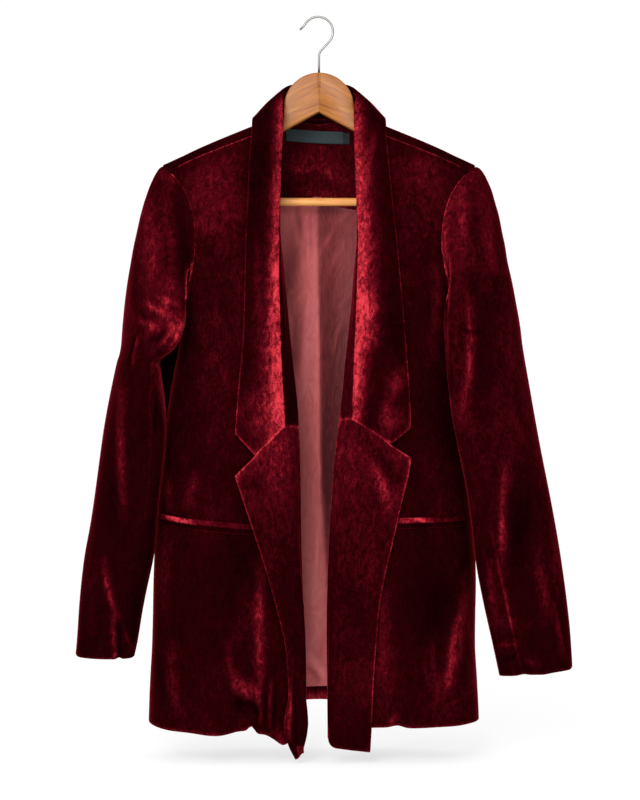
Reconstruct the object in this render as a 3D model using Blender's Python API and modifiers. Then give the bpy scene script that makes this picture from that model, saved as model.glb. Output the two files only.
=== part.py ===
"""A velvet blazer on a wooden clothes hanger, built panel by panel as it is cut and sewn.

Metres, +Z up, and the front faces -Y. The origin is where a rail carries the hook.
Left and right are the wearer's, so the wearer's left is at +X.
The tables are in millimetres: "drop" is the distance below the origin, "out" is the distance
from the middle plane, and "y" runs from the front (negative) to the back (positive).
"""
import math
from collections import namedtuple

import bmesh
import bpy
import numpy as np
from mathutils import Vector
from mathutils.bvhtree import BVHTree

MM = 0.001
SIDES = {"left": 1, "right": -1}

VELVET_WALL = 2.0
LINING_WALL = 1.0
LABEL_WALL = 1.0
JET_WALL = 1.5
SEAM_GAP = 0.4
PANEL_GAP = 1.2
SLEEVE_GAP = 1.1
SEAM_CLOSING = 0.7
SIDE_STEP = 0.03
SIDE_FADE = 6
SWELL_START = 0.35
JET_LIFT = 0.8
LEAF_LIFT = 5.6
STAND_LIFT = 3.4
ARMHOLE_GAP = 0.8
FACING_DEPTH = 6.5
LINING_DEPTH = 10.0

FRONT_LINES = 27
FRONT_STEPS = 13
BACK_LINES = 24
BACK_STEPS = 9
CAP_LINES = 8
TUBE_LINES = 19
UPPER_STEPS = 12
UNDER_STEPS = 10
COLLAR_LINES = 26
LAPEL_LINES = 17
FOLD_SPANS = (3, 3, 2)
UNDERARM_ROW = 9
SIDE_COLUMNS = slice(3, 6)

HOOK_WIRE = 1.4
HOOK_RADIUS = 18.0
HOOK_CENTRE = (-1.2, -16.6)
HOOK_TIP_LENGTH = 12.0
HOOK_OPEN_ANGLE = 140
HOOK_CLOSE_ANGLE = -35
HOOK_LINES = 33
HOOK_TIP_BOW = (0.8, 0.4)
HOOK_NECK = [(4.0, 37.4), (2.5, 39.1), (1.4, 40.6), (0.7, 41.9), (0.3, 43.0), (0.0, 45.0), (0.0, 55.0)]
WIRE_ROUNDNESS = 3
WOOD_THICKNESS = 14.0
WOOD_ROUNDNESS = 3
WOOD_HEAD_LINES = 17
WOOD_HEAD_TURN = (90, 6)
WOOD_NECK = [(42.6, 109.5), (44.5, 115.0), (47.3, 119.8), (51.0, 124.0), (55.9, 128.0)]
WOOD_EDGE = 2.5
WOOD_TOP_DROP = 66.0
WOOD_HEAD_RADIUS = 42.0
WOOD_NOTCH_DROP = 113.5
ARM_SLOPE = 0.43
ARM_UNDER_SLOPE = 0.54
ARM_TOP_START = (62.0, 131.5)
ARM_END_OUT = 172.0
ARM_HEEL = [
    (-8.0, 0.0),
    (-4.6, 2.0),
    (-2.0, 5.0),
    (-0.5, 9.0),
    (0.0, 14.0),
    (-0.8, 26.0),
    (-3.0, 38.0),
    (-10.0, 54.0),
]
ARM_UNDER_OUTS = (132.0, 90.0, 45.0)
BAR_SEAT = [(6.0, 10.0), (0.0, 6.0), (0.0, -8.0)]
BAR_FACETS = 24
BAR_RADIUS = 4.9
BAR_DROP = 220.8
BAR_SEAT_OUT = 146.0

# A section of a front or a back, from its front edge or centre line to its side seam or armhole.
# full_y is the depth that the section swells to, and flat draws that swell in from the side.
Section = namedtuple("Section", "edge_drop edge_out edge_y side_drop side_out side_y full_y flat")

ARMHOLE_FRONT = [
    (328, 156.0, -24, 0.06),
    (304, 150.5, -38, 0.14),
    (275, 147.5, -43, 0.2),
    (246, 149.0, -41, 0.2),
    (221, 155.0, -35, 0.2),
    (203, 164.0, -27, 0.2),
    (194, 171.5, -22, 0.2),
    (187.5, 177.5, -17, 0.2),
]

FRONT_TOP = [
    (325, 43.0, -44, -76),
    (290, 46.0, -42, -73),
    (258, 49.5, -39, -66),
    (225, 53.0, -35, -56),
    (196, 56.5, -30, -44),
    (170, 60.0, -24, -32),
    (152, 63.5, -20, -24),
    (139, 66.0, -16, -17.5),
]

FRONT_LOW = {
    "right": [
        Section(857, 23.5, -49, 842, 204.5, 2, -90, 0.03),
        Section(803, 19.5, -49, 796, 203.0, 3, -89, 0.03),
        Section(742, 20.5, -49, 740, 200.0, 4, -88, 0.03),
        Section(680, 22.5, -49, 675, 199.0, 5, -87, 0.03),
        Section(620, 24.5, -48, 614, 196.0, 5, -86, 0.04),
        Section(560, 25.2, -48, 560, 191.0, 5, -84, 0.06),
        Section(505, 26.5, -48, 505, 185.5, 5, -82, 0.08),
        Section(452, 30.0, -47, 452, 179.0, 5, -80, 0.09),
        Section(405, 35.5, -46, 398, 169.0, 4, -79, 0.03),
        Section(360, 39.5, -45, 348, 161.5, 0, -78, 0.02),
    ],
    "left": [
        Section(843, 13.5, -49, 840, 192.0, 2, -90, 0.03),
        Section(800, 13.0, -49, 796, 190.0, 3, -89, 0.03),
        Section(742, 12.5, -49, 740, 187.0, 4, -88, 0.03),
        Section(680, 13.5, -49, 675, 188.8, 5, -87, 0.03),
        Section(620, 16.0, -48, 614, 185.5, 5, -86, 0.03),
        Section(560, 19.5, -48, 560, 180.5, 5, -84, 0.03),
        Section(505, 24.5, -48, 505, 175.0, 5, -82, 0.03),
        Section(452, 31.0, -47, 452, 169.5, 5, -80, 0.03),
        Section(405, 35.0, -46, 398, 164.5, 4, -79, 0.03),
        Section(360, 40.5, -45, 348, 161.5, 0, -78, 0.02),
    ],
}

FRONT = {
    side: FRONT_LOW[side]
    + [
        Section(edge_drop, edge_out, edge_y, drop, out, y, full_y, flat)
        for (edge_drop, edge_out, edge_y, full_y), (drop, out, y, flat) in zip(FRONT_TOP, ARMHOLE_FRONT)
    ]
    for side in SIDES
}

# The back: its centre line up to the neck, then its neckline round to the shoulder seam.
# swell_right and swell_left push the cloth behind a side seam out, as a share of the half's width.
BackLow = namedtuple("BackLow", "centre_drop centre_y full_y swell_right swell_left")
BACK_LOW = [
    BackLow(824, 70, 86, 0, 0),
    BackLow(782, 69, 85, 0, 0),
    BackLow(728, 67, 83, 0, 0),
    BackLow(668, 64, 80, 0, 0),
    BackLow(610, 61, 77, 0.02, 0),
    BackLow(555, 60, 76, 0.06, 0),
    BackLow(500, 62, 78, 0.16, 0),
    BackLow(450, 66, 81, 0.40, 0.02),
    BackLow(400, 70, 85, 0.55, 0.04),
    BackLow(352, 73, 87, 0.26, 0.02),
]
BACK_TOP = [
    Section(315, 0, 74, 330, 159.5, 22, 87, 0.05),
    Section(280, 0, 73, 308, 157.0, 37, 85, 0.12),
    Section(245, 0, 70, 280, 155.5, 45, 81, 0.2),
    Section(210, 0, 65, 250, 157.5, 44, 74, 0.2),
    Section(178, 0, 58, 222, 163.5, 36, 63, 0.2),
    Section(148, 0, 51, 201, 172.0, 23, 50, 0.2),
    Section(124, 0, 46, 187, 178.0, 11, 35, 0.2),
    Section(122, 30, 40, 181, 181.5, 4, 20, 0.2),
    Section(119, 54, 18, 178, 183.0, -2, 5, 0.2),
    Section(125, 64, -5, 181, 182.0, -10.5, -9, 0.2),
    Section(139, 66, -16, 187.5, 177.5, -17, -17.5, 0.2),
]

# Folds pressed into a panel: a ridge that grows from its top to its bottom, pushes the cloth out
# and dies away at end_drop.
Fold = namedtuple("Fold", "top_drop top_out bottom_drop bottom_out end_drop width push")
FRONT_FOLDS = {
    "right": [
        Fold(610, 72, 850, 66, 1100, 13, 11),
        Fold(700, 92, 850, 92, 1100, 11, -13),
        Fold(620, 150, 845, 122, 1100, 26, 9),
        Fold(700, 186, 840, 178, 1100, 16, 6),
        Fold(640, 168, 845, 156, 1100, 12, -7),
        Fold(250, 118, 420, 112, 540, 22, -4),
    ],
    "left": [
        Fold(250, 118, 400, 124, 520, 16, 6),
        Fold(270, 136, 420, 140, 540, 10, -6),
        Fold(640, 158, 845, 150, 1100, 16, 8),
        Fold(640, 134, 845, 128, 1100, 12, -7),
        Fold(700, 84, 845, 80, 1100, 12, -8),
        Fold(640, 104, 845, 100, 1100, 18, 6),
    ],
}
BACK_FOLDS = [
    Fold(520, 60, 830, 70, 1100, 34, 9),
    Fold(560, 124, 830, 132, 1100, 26, -9),
    Fold(600, 168, 830, 176, 1100, 22, 7),
]

# A ring of a sleeve: how far its inner and outer sides are from the middle plane, its front and
# back depth, how far the front swings inwards, the turn to the front seam and how the ring dips.
Ring = namedtuple("Ring", "drop inner outer front_y back_y swing seam_turn dip")
RINGS = {
    "right": [
        Ring(372, 160.0, 238.5, -76, 54, 26, 60, 0),
        Ring(390, 166.0, 240.0, -79, 52, 27, 64, 0),
        Ring(401, 173.5, 241.5, -76, 51, 24, 68, 0),
        Ring(410, 187.5, 243.5, -64, 50, 15, 72, 0),
        Ring(424, 188.5, 246.5, -63, 49, 14, 76, 0),
        Ring(454, 184.5, 252.5, -66, 47, 16, 80, 0),
        Ring(484, 181.5, 258.0, -67, 45, 18, 80, 0),
        Ring(518, 182.0, 263.0, -66, 43, 20, 80, 0),
        Ring(554, 186.0, 268.0, -65, 40, 23, 80, 0),
        Ring(580, 189.5, 271.5, -64, 38, 24, 80, 0),
        Ring(614, 192.0, 276.5, -62, 36, 22, 80, 0),
        Ring(650, 197.0, 282.5, -60, 34, 17, 80, 0),
        Ring(698, 208.0, 287.0, -57, 31, 10, 80, 0),
        Ring(732, 213.5, 289.0, -55, 29, 8, 78, 0),
        Ring(763, 219.5, 291.5, -54, 28, 8, 74, 0),
    ],
    "left": [
        Ring(372, 146.5, 243.5, -82, 34, 38, 48, 0),
        Ring(398, 148.0, 246.5, -84, 30, 39, 50, 0),
        Ring(440, 151.5, 253.5, -84, 26, 40, 54, 0),
        Ring(482, 157.0, 260.5, -84, 22, 40, 60, 0),
        Ring(524, 165.0, 268.0, -83, 19, 39, 66, 0),
        Ring(566, 173.5, 276.0, -82, 16, 37, 70, 0),
        Ring(608, 179.5, 283.5, -80, 14, 34, 72, 0),
        Ring(650, 184.5, 290.0, -78, 12, 30, 72, 0),
        Ring(698, 194.0, 296.0, -75, 10, 24, 72, 1),
        Ring(740, 204.0, 300.0, -72, 9, 18, 70, 2),
        Ring(780, 213.0, 302.0, -70, 8, 14, 68, 3),
    ],
}
BACK_SEAM_TURN = -115
CAP_REACH = 98.0
CAP_REACH_LOW = 24.0
CAP_REACH_POWER = 1.4
CAP_RISE = {"right": 1.4, "left": 0.6}
CAP_RISE_POWER = 2
CAP_SPREAD = 0.7
CAP_CLOSING = 1.3

# Dents that run along a sleeve, at a turn round it measured from its inner side.
Dent = namedtuple("Dent", "top_drop bottom_drop turn width push")
SLEEVE_DENTS = {
    "right": [
        Dent(420, 560, 120, 20, 6),
        Dent(560, 660, 118, 16, -6),
        Dent(330, 405, 70, 24, 4),
    ],
    "left": [
        Dent(260, 440, 68, 12, -8),
        Dent(300, 460, 92, 14, 7),
        Dent(470, 660, 112, 14, 7),
        Dent(500, 720, 142, 14, -6),
    ],
}

# The collar from the gorge up round the neck to the centre back. base is the neck seam, roll the
# fold line, leaf the free edge. Where leaf_y is None the leaf lies on the front.
Collar = namedtuple("Collar", "base_drop base_out base_y roll_drop roll_out roll_y leaf_drop leaf_out leaf_y")
COLLAR = {
    "right": [
        Collar(488, 0, None, 487.5, 39.5, -73, 498, 97.5, None),
        Collar(455, 0, None, 455, 41, -73, 470, 95.5, None),
        Collar(420, 0, None, 420, 43, -72.5, 432, 92.5, None),
        Collar(384, 0, None, 384, 45, -71.5, 392, 88.5, None),
        Collar(347, 0, None, 347, 46, -70, 351, 87, None),
        Collar(310, 0, None, 310, 47, -67, 310, 86, None),
        Collar(270, 0, None, 270, 47, -62, 270, 85.5, None),
        Collar(232, 0, None, 232, 46, -55, 235, 84, None),
        Collar(198, 0, None, 198, 45, -47, 203, 83, None),
        Collar(168, 0, None, 168, 44, -38, 172, 82, None),
        Collar(142, 0, None, 140, 43, -29, 147, 80, None),
    ],
    "left": [
        Collar(480, 0, None, 480, 38.7, -73, 491.5, 106.5, None),
        Collar(452, 0, None, 452, 40, -73, 464, 106, None),
        Collar(420, 0, None, 420, 41, -72.5, 430, 104, None),
        Collar(384, 0, None, 384, 42.5, -71.5, 390, 101, None),
        Collar(347, 0, None, 347, 44, -70, 350, 98, None),
        Collar(310, 0, None, 310, 45, -67, 312, 94.5, None),
        Collar(270, 0, None, 270, 46, -62, 270, 91, None),
        Collar(232, 0, None, 232, 44.5, -55, 235, 87.5, None),
        Collar(198, 0, None, 198, 43, -47, 203, 84.5, None),
        Collar(168, 0, None, 168, 42, -38, 172, 82, None),
        Collar(142, 0, None, 140, 41.5, -29, 147, 80, None),
    ],
}
COLLAR_NECK = [
    Collar(117, 59, -7, 112, 41.5, -20, 126, 79.5, -13),
    Collar(111, 54, 8, 93, 44, -6, 119, 79, 2),
    Collar(113, 46, 22, 83, 40.5, 7, 121, 77.5, 19),
    Collar(115, 34, 33, 77.5, 32, 19, 128, 65, 40),
    Collar(117, 17, 39.5, 75, 17, 29, 133, 38, 55),
    Collar(117, 0, 41.5, 75, 0, 33, 135, 0, 59.5),
]
NOTCH = {"right": (523, 73.5), "left": (508, 84.5)}
LEAF_SWELL = 3.0

# The lapel from the gorge down to the hem. roll is the fold line and leaf the free edge.
Lapel = namedtuple("Lapel", "roll_drop roll_out roll_y leaf_drop leaf_out")
LAPEL = {
    "right": [
        Lapel(491, 39.5, -73, 547.5, 97.5),
        Lapel(520, 36.5, -72.5, 570, 90),
        Lapel(558, 33, -71, 599, 80.5),
        Lapel(600, 29, -69, 634, 69),
        Lapel(642, 25, -66, 664, 59.5),
        Lapel(684, 20.5, -62, 693, 51.5),
        Lapel(716, 18, -61, 717, 45.5),
        Lapel(748, 16.5, -60, 745, 39.0),
        Lapel(786, 16, -60, 785, 35.5),
        Lapel(815, 16, -60, 812, 35.5),
        Lapel(839, 17, -61, 838, 37),
        Lapel(860, 19.5, -62, 861, 34),
        Lapel(874, 22.5, -63, 880, 27.5),
    ],
    "left": [
        Lapel(483.5, 38.7, -73, 526, 106.5),
        Lapel(508, 36.5, -72.5, 546, 104),
        Lapel(536, 34, -72, 580, 95.5),
        Lapel(566, 31, -71, 610, 89),
        Lapel(602, 27, -70, 636, 83),
        Lapel(648, 22, -69, 666, 76),
        Lapel(695, 17, -68, 700, 70),
        Lapel(742, 14, -67, 740, 66.5),
        Lapel(790, 11.5, -66, 790, 63),
        Lapel(834, 11, -66, 838, 61),
        Lapel(865, 13.5, -67, 871, 59.5),
    ],
}

# Pocket jets: the drop of the mouth at its inner and outer end and how far along the section it runs.
Pocket = namedtuple("Pocket", "inner_drop outer_drop inner_share outer_share height")
POCKET = {
    "right": Pocket(609.5, 601.5, 0.275, 0.86, 5.0),
    "left": Pocket(602.5, 603.0, 0.32, 0.8, 5.2),
}
JET_STEPS = 10
JET_GAP = 0.4

NECK_ROW = 16
FACING_ROWS = (13.0, 17.5)
FACING_SHARE = 0.4
LINING_ROWS = (0.42, 12.95)
LINING_SHARE = 0.7
PLEAT_OUT = 2.0
PLEAT_WIDTH = 7.0
PLEAT_DEPTH = 5.0
PLEAT_REACH = 40.0
LABEL = {"name": "neck_label", "x": (-39.0, 28.6), "drop": (130.5, 143.5), "sag": 3.5}
SIZE_TAB = {"name": "size_tab", "x": (29.6, 36.6), "drop": (135.5, 147.0), "sag": 0.3}
LABEL_LIFT = 2.6
LABEL_STEPS = (4, 2)
FAR_IN_FRONT = -400.0

VELVET = ("velvet", (0.16, 0.008, 0.018), 0.75, 0.0)
SATIN = ("lining_satin", (0.42, 0.12, 0.13), 0.45, 0.0)
LABEL_CLOTH = ("label_cloth", (0.06, 0.09, 0.1), 0.7, 0.0)
WOOD = ("hanger_wood", (0.56, 0.27, 0.1), 0.45, 0.0)
STEEL = ("hook_steel", (0.55, 0.54, 0.52), 0.25, 1.0)


def through(knots, values, at):
    """Points of the smooth curve that passes through the values at the knots."""
    knots = np.asarray(knots, float)
    values = np.asarray(values, float)
    slopes = np.gradient(values, knots, axis=0)
    at = np.asarray(at, float)
    start = np.clip(np.searchsorted(knots, at, side="right") - 1, 0, len(knots) - 2)
    step = (knots[start + 1] - knots[start])[:, None]
    t = (at - knots[start])[:, None] / step
    rise = t * t * (3 - 2 * t)
    leave = t * (1 - t) ** 2 * step
    arrive = -t * t * (1 - t) * step
    between = values[start] * (1 - rise) + values[start + 1] * rise
    return between + slopes[start] * leave + slopes[start + 1] * arrive


def lengths_along(points):
    steps = np.linalg.norm(np.diff(points, axis=0), axis=1)
    return np.concatenate([[0.0], np.cumsum(np.maximum(steps, 1e-6))])


def unit(vectors):
    return vectors / np.maximum(np.linalg.norm(vectors, axis=-1, keepdims=True), 1e-9)


def eased(share):
    share = np.clip(share, 0.0, 1.0)
    return share * share * (3 - 2 * share)


def closing_in(first, last, steps):
    """Values from first to last whose steps shorten towards both ends, where the seams are."""
    share = np.linspace(0, 1, steps + 1)
    return first + (last - first) * (share - SEAM_CLOSING * np.sin(2 * math.pi * share) / (2 * math.pi))


def fold_push(folds, out, drop):
    """How far the folds push the cloth out at each point."""
    total = np.zeros_like(out)
    for fold in folds:
        share = (drop - fold.top_drop) / (fold.bottom_drop - fold.top_drop)
        middle = fold.top_out + np.clip(share, 0, 1) * (fold.bottom_out - fold.top_out)
        fade = 1 - eased((drop - fold.bottom_drop) / (fold.end_drop - fold.bottom_drop))
        total += fold.push * eased(share) * fade * np.exp(-(((out - middle) / fold.width) ** 2))
    return total


def with_corner(values, rows):
    """The side of a panel, which turns a corner where the side seam meets the armhole."""
    below = through(range(UNDERARM_ROW + 1), values[: UNDERARM_ROW + 1], np.minimum(rows, UNDERARM_ROW))
    above = values[UNDERARM_ROW:]
    above = through(range(len(above)), above, np.maximum(rows - UNDERARM_ROW, 0))
    return np.where(rows[:, None] <= UNDERARM_ROW, below, above)


def panel_points(sections, rows, shares, folds, outward):
    """Points (out, y, drop) of a panel at fractional section numbers and shares across."""
    rows = np.ravel(rows)
    values = through(range(len(sections)), sections, rows)
    values[:, SIDE_COLUMNS] = with_corner(np.array(sections, float)[:, SIDE_COLUMNS], rows)
    values[:, 1] = np.maximum(values[:, 1], 0)
    row = Section(*(column[:, None] for column in values.T))
    t = np.ravel(shares)[None, :]
    width = row.side_out - row.edge_out
    first, last = (1 - t) ** 3, t**3
    second, third = 3 * t * (1 - t) ** 2, 3 * t * t * (1 - t)
    out = first * row.edge_out + second * (row.edge_out + SWELL_START * width)
    out = out + third * (row.side_out - row.flat * width) + last * row.side_out
    y = first * row.edge_y + (second + third) * row.full_y + last * row.side_y
    drop = row.edge_drop + (row.side_drop - row.edge_drop) * t
    y = y + outward * fold_push(folds, out, drop) * (1 - t**SIDE_FADE)
    return np.stack([out, y, drop], axis=-1)


def seam_pulled(grid, gap, edges="first last start end"):
    """The grid with its named borders drawn in by half the gap that a seam leaves."""
    grid = grid.copy()
    half = gap / 2
    if "first" in edges:
        grid[0] += unit(grid[1] - grid[0]) * half
    if "last" in edges:
        grid[-1] += unit(grid[-2] - grid[-1]) * half
    if "start" in edges:
        grid[:, 0] += unit(grid[:, 1] - grid[:, 0]) * half
    if "end" in edges:
        grid[:, -1] += unit(grid[:, -2] - grid[:, -1]) * half
    return grid


def placed(points, sign):
    """Table points (out, y, drop) as x, y, z of one side."""
    return points * (sign, 1, 1) @ np.array([[1, 0, 0], [0, 1, 0], [0, 0, -1]])


def normals_of(grid, towards):
    along = np.gradient(grid, axis=0)
    across = np.gradient(grid, axis=1)
    normals = unit(np.cross(along, across))
    facing = np.sum(normals * towards, axis=-1).mean()
    return normals if facing > 0 else -normals


def tree_of(grids):
    """A search tree over the faces of some grids."""
    points, faces = [], []
    for grid in grids:
        rows, columns = grid.shape[:2]
        first = len(points)
        points += [Vector(point) for point in grid.reshape(-1, 3)]
        for r in range(rows - 1):
            for c in range(columns - 1):
                corner = first + r * columns + c
                faces.append((corner, corner + 1, corner + columns + 1, corner + columns))
    return BVHTree.FromPolygons(points, faces)


def front_y_at(tree, x, z, missing):
    """The y of the cloth nearest the front at x and z, or missing where there is none."""
    hit = tree.ray_cast(Vector((x, FAR_IN_FRONT, z)), Vector((0, 1, 0)))[0]
    return missing if hit is None else hit.y


def new_material(name, colour, roughness, metallic):
    material = bpy.data.materials.new(name)
    material.use_nodes = True
    shader = material.node_tree.nodes["Principled BSDF"]
    shader.inputs["Base Color"].default_value = (*colour, 1)
    shader.inputs["Roughness"].default_value = roughness
    shader.inputs["Metallic"].default_value = metallic
    return material


def material_for(look):
    return bpy.data.materials.get(look[0]) or new_material(*look)


def add_sheet(name, grids, wall, look, towards):
    """One cloth piece: grids joined where they touch, given a wall behind the side that shows."""
    shape = bmesh.new()
    for grid in grids:
        rows, columns = grid.shape[:2]
        made = bmesh.ops.create_grid(shape, x_segments=columns - 1, y_segments=rows - 1, size=1)
        for vertex in made["verts"]:
            column = round((vertex.co.x + 1) / 2 * (columns - 1))
            row = round((vertex.co.y + 1) / 2 * (rows - 1))
            vertex.co = Vector(grid[row, column]) * MM
    bmesh.ops.remove_doubles(shape, verts=shape.verts, dist=0.02 * MM)
    bmesh.ops.recalc_face_normals(shape, faces=shape.faces)
    shape.normal_update()
    facing = sum(face.normal.dot(Vector(towards)) * face.calc_area() for face in shape.faces)
    if facing < 0:
        bmesh.ops.reverse_faces(shape, faces=shape.faces)
    mesh = bpy.data.meshes.new(name)
    shape.to_mesh(mesh)
    shape.free()
    mesh.shade_smooth()
    mesh.materials.append(material_for(look))
    piece = bpy.data.objects.new(name, mesh)
    BLAZER.objects.link(piece)
    solidify = piece.modifiers.new("wall", "SOLIDIFY")
    solidify.thickness = wall * MM
    solidify.offset = -1
    solidify.use_even_offset = True
    return piece


def swept(controls, crisp):
    """Sections through control points, evenly split between them. crisp 1 keeps straight spans."""
    rows = []
    for points, straight in zip(controls, crisp):
        knots = lengths_along(points)
        shares = [0.0]
        for number, count in enumerate(FOLD_SPANS):
            shares += [number + (step + 1) / count for step in range(count)]
        at = np.interp(shares, range(len(knots)), knots)
        soft = through(knots, points, at)
        plain = np.stack([np.interp(at, knots, points[:, axis]) for axis in range(3)], axis=-1)
        rows.append(soft * (1 - straight) + plain * straight)
    return np.array(rows)


for leftover in list(bpy.data.objects):
    bpy.data.objects.remove(leftover)
BLAZER = bpy.data.collections.new("velvet_blazer")
bpy.context.scene.collection.children.link(BLAZER)

# Fronts and back: the fronts meet the back at the side seams and at the forward shoulder seams.
back_rows = np.union1d(np.round(np.linspace(0, len(BACK_LOW + BACK_TOP) - 1, BACK_LINES), 3), [NECK_ROW])
back_shares = np.linspace(0, 1, BACK_STEPS + 1)
back_shares = np.append(back_shares, 1 - SIDE_STEP)
back_shares.sort()
front_grids = {}
back_halves = {}
back_sections = {}
for side, sign in SIDES.items():
    rows = np.linspace(0, len(FRONT[side]) - 1, FRONT_LINES)
    shares = closing_in(0, 1, FRONT_STEPS)
    grid = panel_points(FRONT[side], rows, shares, FRONT_FOLDS[side], -1)
    front_grids[side] = placed(grid, sign)
    add_sheet(f"front_{side}", [placed(seam_pulled(grid, PANEL_GAP), sign)], VELVET_WALL, VELVET, (0, -1, 0))

    low = []
    for row, seam in zip(BACK_LOW, FRONT_LOW[side]):
        swell = row.swell_right if side == "right" else row.swell_left
        centre = (row.centre_drop, 0, row.centre_y)
        low.append(Section(*centre, seam.side_drop, seam.side_out, seam.side_y, row.full_y, -swell))
    back_sections[side] = low + BACK_TOP
    grid = panel_points(back_sections[side], back_rows, back_shares, BACK_FOLDS, 1)
    back_halves[side] = placed(seam_pulled(grid, PANEL_GAP, "last end"), sign)
add_sheet("back", list(back_halves.values()), VELVET_WALL, VELVET, (0, 1, 0))
shell_tree = tree_of([*front_grids.values(), *back_halves.values()])


# Sleeves: a cap that leaves the armhole and a tube that hangs to the cuff, cut along two seams.
def armhole_points(side, q):
    """The armhole from the shoulder seam down the front to the underarm and up the back, q from 0 to 1."""
    front = [(row.side_out, row.side_y, row.side_drop) for row in FRONT[side][UNDERARM_ROW:]][::-1]
    back = [(row.side_out, row.side_y, row.side_drop) for row in back_sections[side][UNDERARM_ROW:]]
    halves = []
    for points, start in ((np.array(front, float), 0.0), (np.array(back, float), 0.5)):
        run = lengths_along(points)
        halves.append((run / run[-1] * 0.5 + start, points))
    knots = np.concatenate([halves[0][0], halves[1][0][1:]])
    points = np.concatenate([halves[0][1], halves[1][1][1:]])
    return through(knots, points, np.mod(q, 1.0))


def ring_points(ring, q, dents):
    turn = math.pi - 2 * math.pi * q
    centre = (ring.inner + ring.outer) / 2
    reach = (ring.outer - ring.inner) / 2
    side_reach = np.sqrt(reach**2 - ring.swing**2)
    out = centre - (side_reach * np.cos(turn) + ring.swing * np.sin(turn))
    y = (ring.front_y + ring.back_y) / 2 - (ring.back_y - ring.front_y) / 2 * np.sin(turn)
    push = np.zeros_like(turn)
    for dent in dents:
        share = (ring.drop - dent.top_drop) / (dent.bottom_drop - dent.top_drop)
        if 0 < share < 1:
            away = np.degrees(turn) - dent.turn
            push += dent.push * math.sin(math.pi * share) * np.exp(-((away / dent.width) ** 2))
    out = out - push * np.cos(turn)
    y = y - push * np.sin(turn)
    drop = ring.drop + ring.dip * np.cos(turn)
    return np.stack([out, y, drop + np.zeros_like(out)], axis=-1)


def sleeve_lines(side, quarter_of):
    """Rings of a sleeve from its armhole to its cuff. quarter_of gives q for a front seam turn."""
    table = np.array(RINGS[side], float)
    at = np.linspace(0, len(table) - 1, TUBE_LINES)
    rings = [Ring(*row) for row in through(range(len(table)), table, at)]
    q = quarter_of(rings[0].seam_turn)
    armhole = armhole_points(side, q)
    top, below = ring_points(rings[0], q, SLEEVE_DENTS[side]), ring_points(rings[1], q, SLEEVE_DENTS[side])
    middle = armhole_points(side, np.linspace(0, 1, 40, endpoint=False)).mean(axis=0)
    spread = (armhole - middle) * (0, 1, 1)
    height = 0.5 + 0.5 * np.cos(2 * math.pi * q)
    climb = CAP_RISE[side] * height**CAP_RISE_POWER
    lift = np.stack([np.zeros_like(q), np.full_like(q, CAP_SPREAD), climb], axis=-1)
    leave = unit(unit(spread) * lift + np.array([1.0, 0, 0]))
    leave = leave * (CAP_REACH_LOW + (CAP_REACH - CAP_REACH_LOW) * height**CAP_REACH_POWER)[:, None]
    arrive = unit(below - top) * np.linalg.norm(top - armhole, axis=1, keepdims=True)
    armhole = armhole + np.array([ARMHOLE_GAP, 0, 0])
    lines = []
    for t in np.linspace(0, 1, CAP_LINES + 1)[:-1] ** CAP_CLOSING:
        rise = t * t * (3 - 2 * t)
        lines.append(
            armhole * (1 - rise) + top * rise + leave * t * (1 - t) ** 2 - arrive * t * t * (1 - t)
        )
    for ring in rings:
        lines.append(ring_points(ring, quarter_of(ring.seam_turn), SLEEVE_DENTS[side]))
    return np.array(lines)


def seam_quarter(turn):
    return (180 - turn) / 360


def upper_quarters(seam_turn):
    return closing_in(seam_quarter(BACK_SEAM_TURN) - 1, seam_quarter(seam_turn), UPPER_STEPS)


def under_quarters(seam_turn):
    return closing_in(seam_quarter(seam_turn), seam_quarter(BACK_SEAM_TURN), UNDER_STEPS)


for side, sign in SIDES.items():
    upper = seam_pulled(sleeve_lines(side, upper_quarters), SLEEVE_GAP, "start end")
    under = seam_pulled(sleeve_lines(side, under_quarters), SLEEVE_GAP, "start end")
    add_sheet(f"upper_sleeve_{side}", [placed(upper, sign)], VELVET_WALL, VELVET, (sign, -0.3, 0))
    add_sheet(f"under_sleeve_{side}", [placed(under, sign)], VELVET_WALL, VELVET, (-sign, 0.6, 0))


# Collar and lapels: folded leaves that lie on the fronts.
def edge_point(side, drop):
    """The front's edge at a drop, moved forward to where the leaf is sewn."""
    rows = sorted((row.edge_drop, row.edge_out, row.edge_y) for row in FRONT[side])
    table = np.array(rows, float)
    out, y = through(table[:, 0], table[:, 1:], [drop])[0]
    return np.array([out - STAND_LIFT, y - STAND_LIFT, drop])


def on_front(side, out, drop, lift, missing):
    return front_y_at(shell_tree, SIDES[side] * out, -drop, missing + lift) - lift


def kept_clear(grid, side):
    """The leaf grid with every point at least the leaf's lift in front of the cloth below it."""
    grid = grid.copy()
    for point in grid[:, FOLD_SPANS[0] :].reshape(-1, 3):
        clear_y = on_front(side, point[0], point[2], LEAF_LIFT, point[1])
        point[1] = min(point[1], clear_y)
    return grid


def collar_controls(side):
    rows = []
    for number, row in enumerate(COLLAR[side] + COLLAR_NECK):
        if row.base_y is None:
            base = edge_point(side, row.base_drop)
        else:
            base = np.array([row.base_out, row.base_y, row.base_drop], float)
        roll = np.array([row.roll_out, row.roll_y, row.roll_drop], float)
        leaf_y = row.leaf_y
        if leaf_y is None:
            leaf_y = on_front(side, row.leaf_out, row.leaf_drop, LEAF_LIFT, row.roll_y)
        leaf = np.array([row.leaf_out, leaf_y, row.leaf_drop], float)
        middle = (roll + leaf) / 2
        if number == 0:
            middle[0], middle[2] = NOTCH[side][1], NOTCH[side][0]
        if row.leaf_y is None:
            middle[1] -= LEAF_SWELL
        else:
            fall = unit(leaf - roll)
            middle += unit(fall * fall[2] - np.array([0.0, 0.0, 1.0])) * LEAF_SWELL
        rows.append([base, roll, middle, leaf])
    return np.array(rows)


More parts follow.
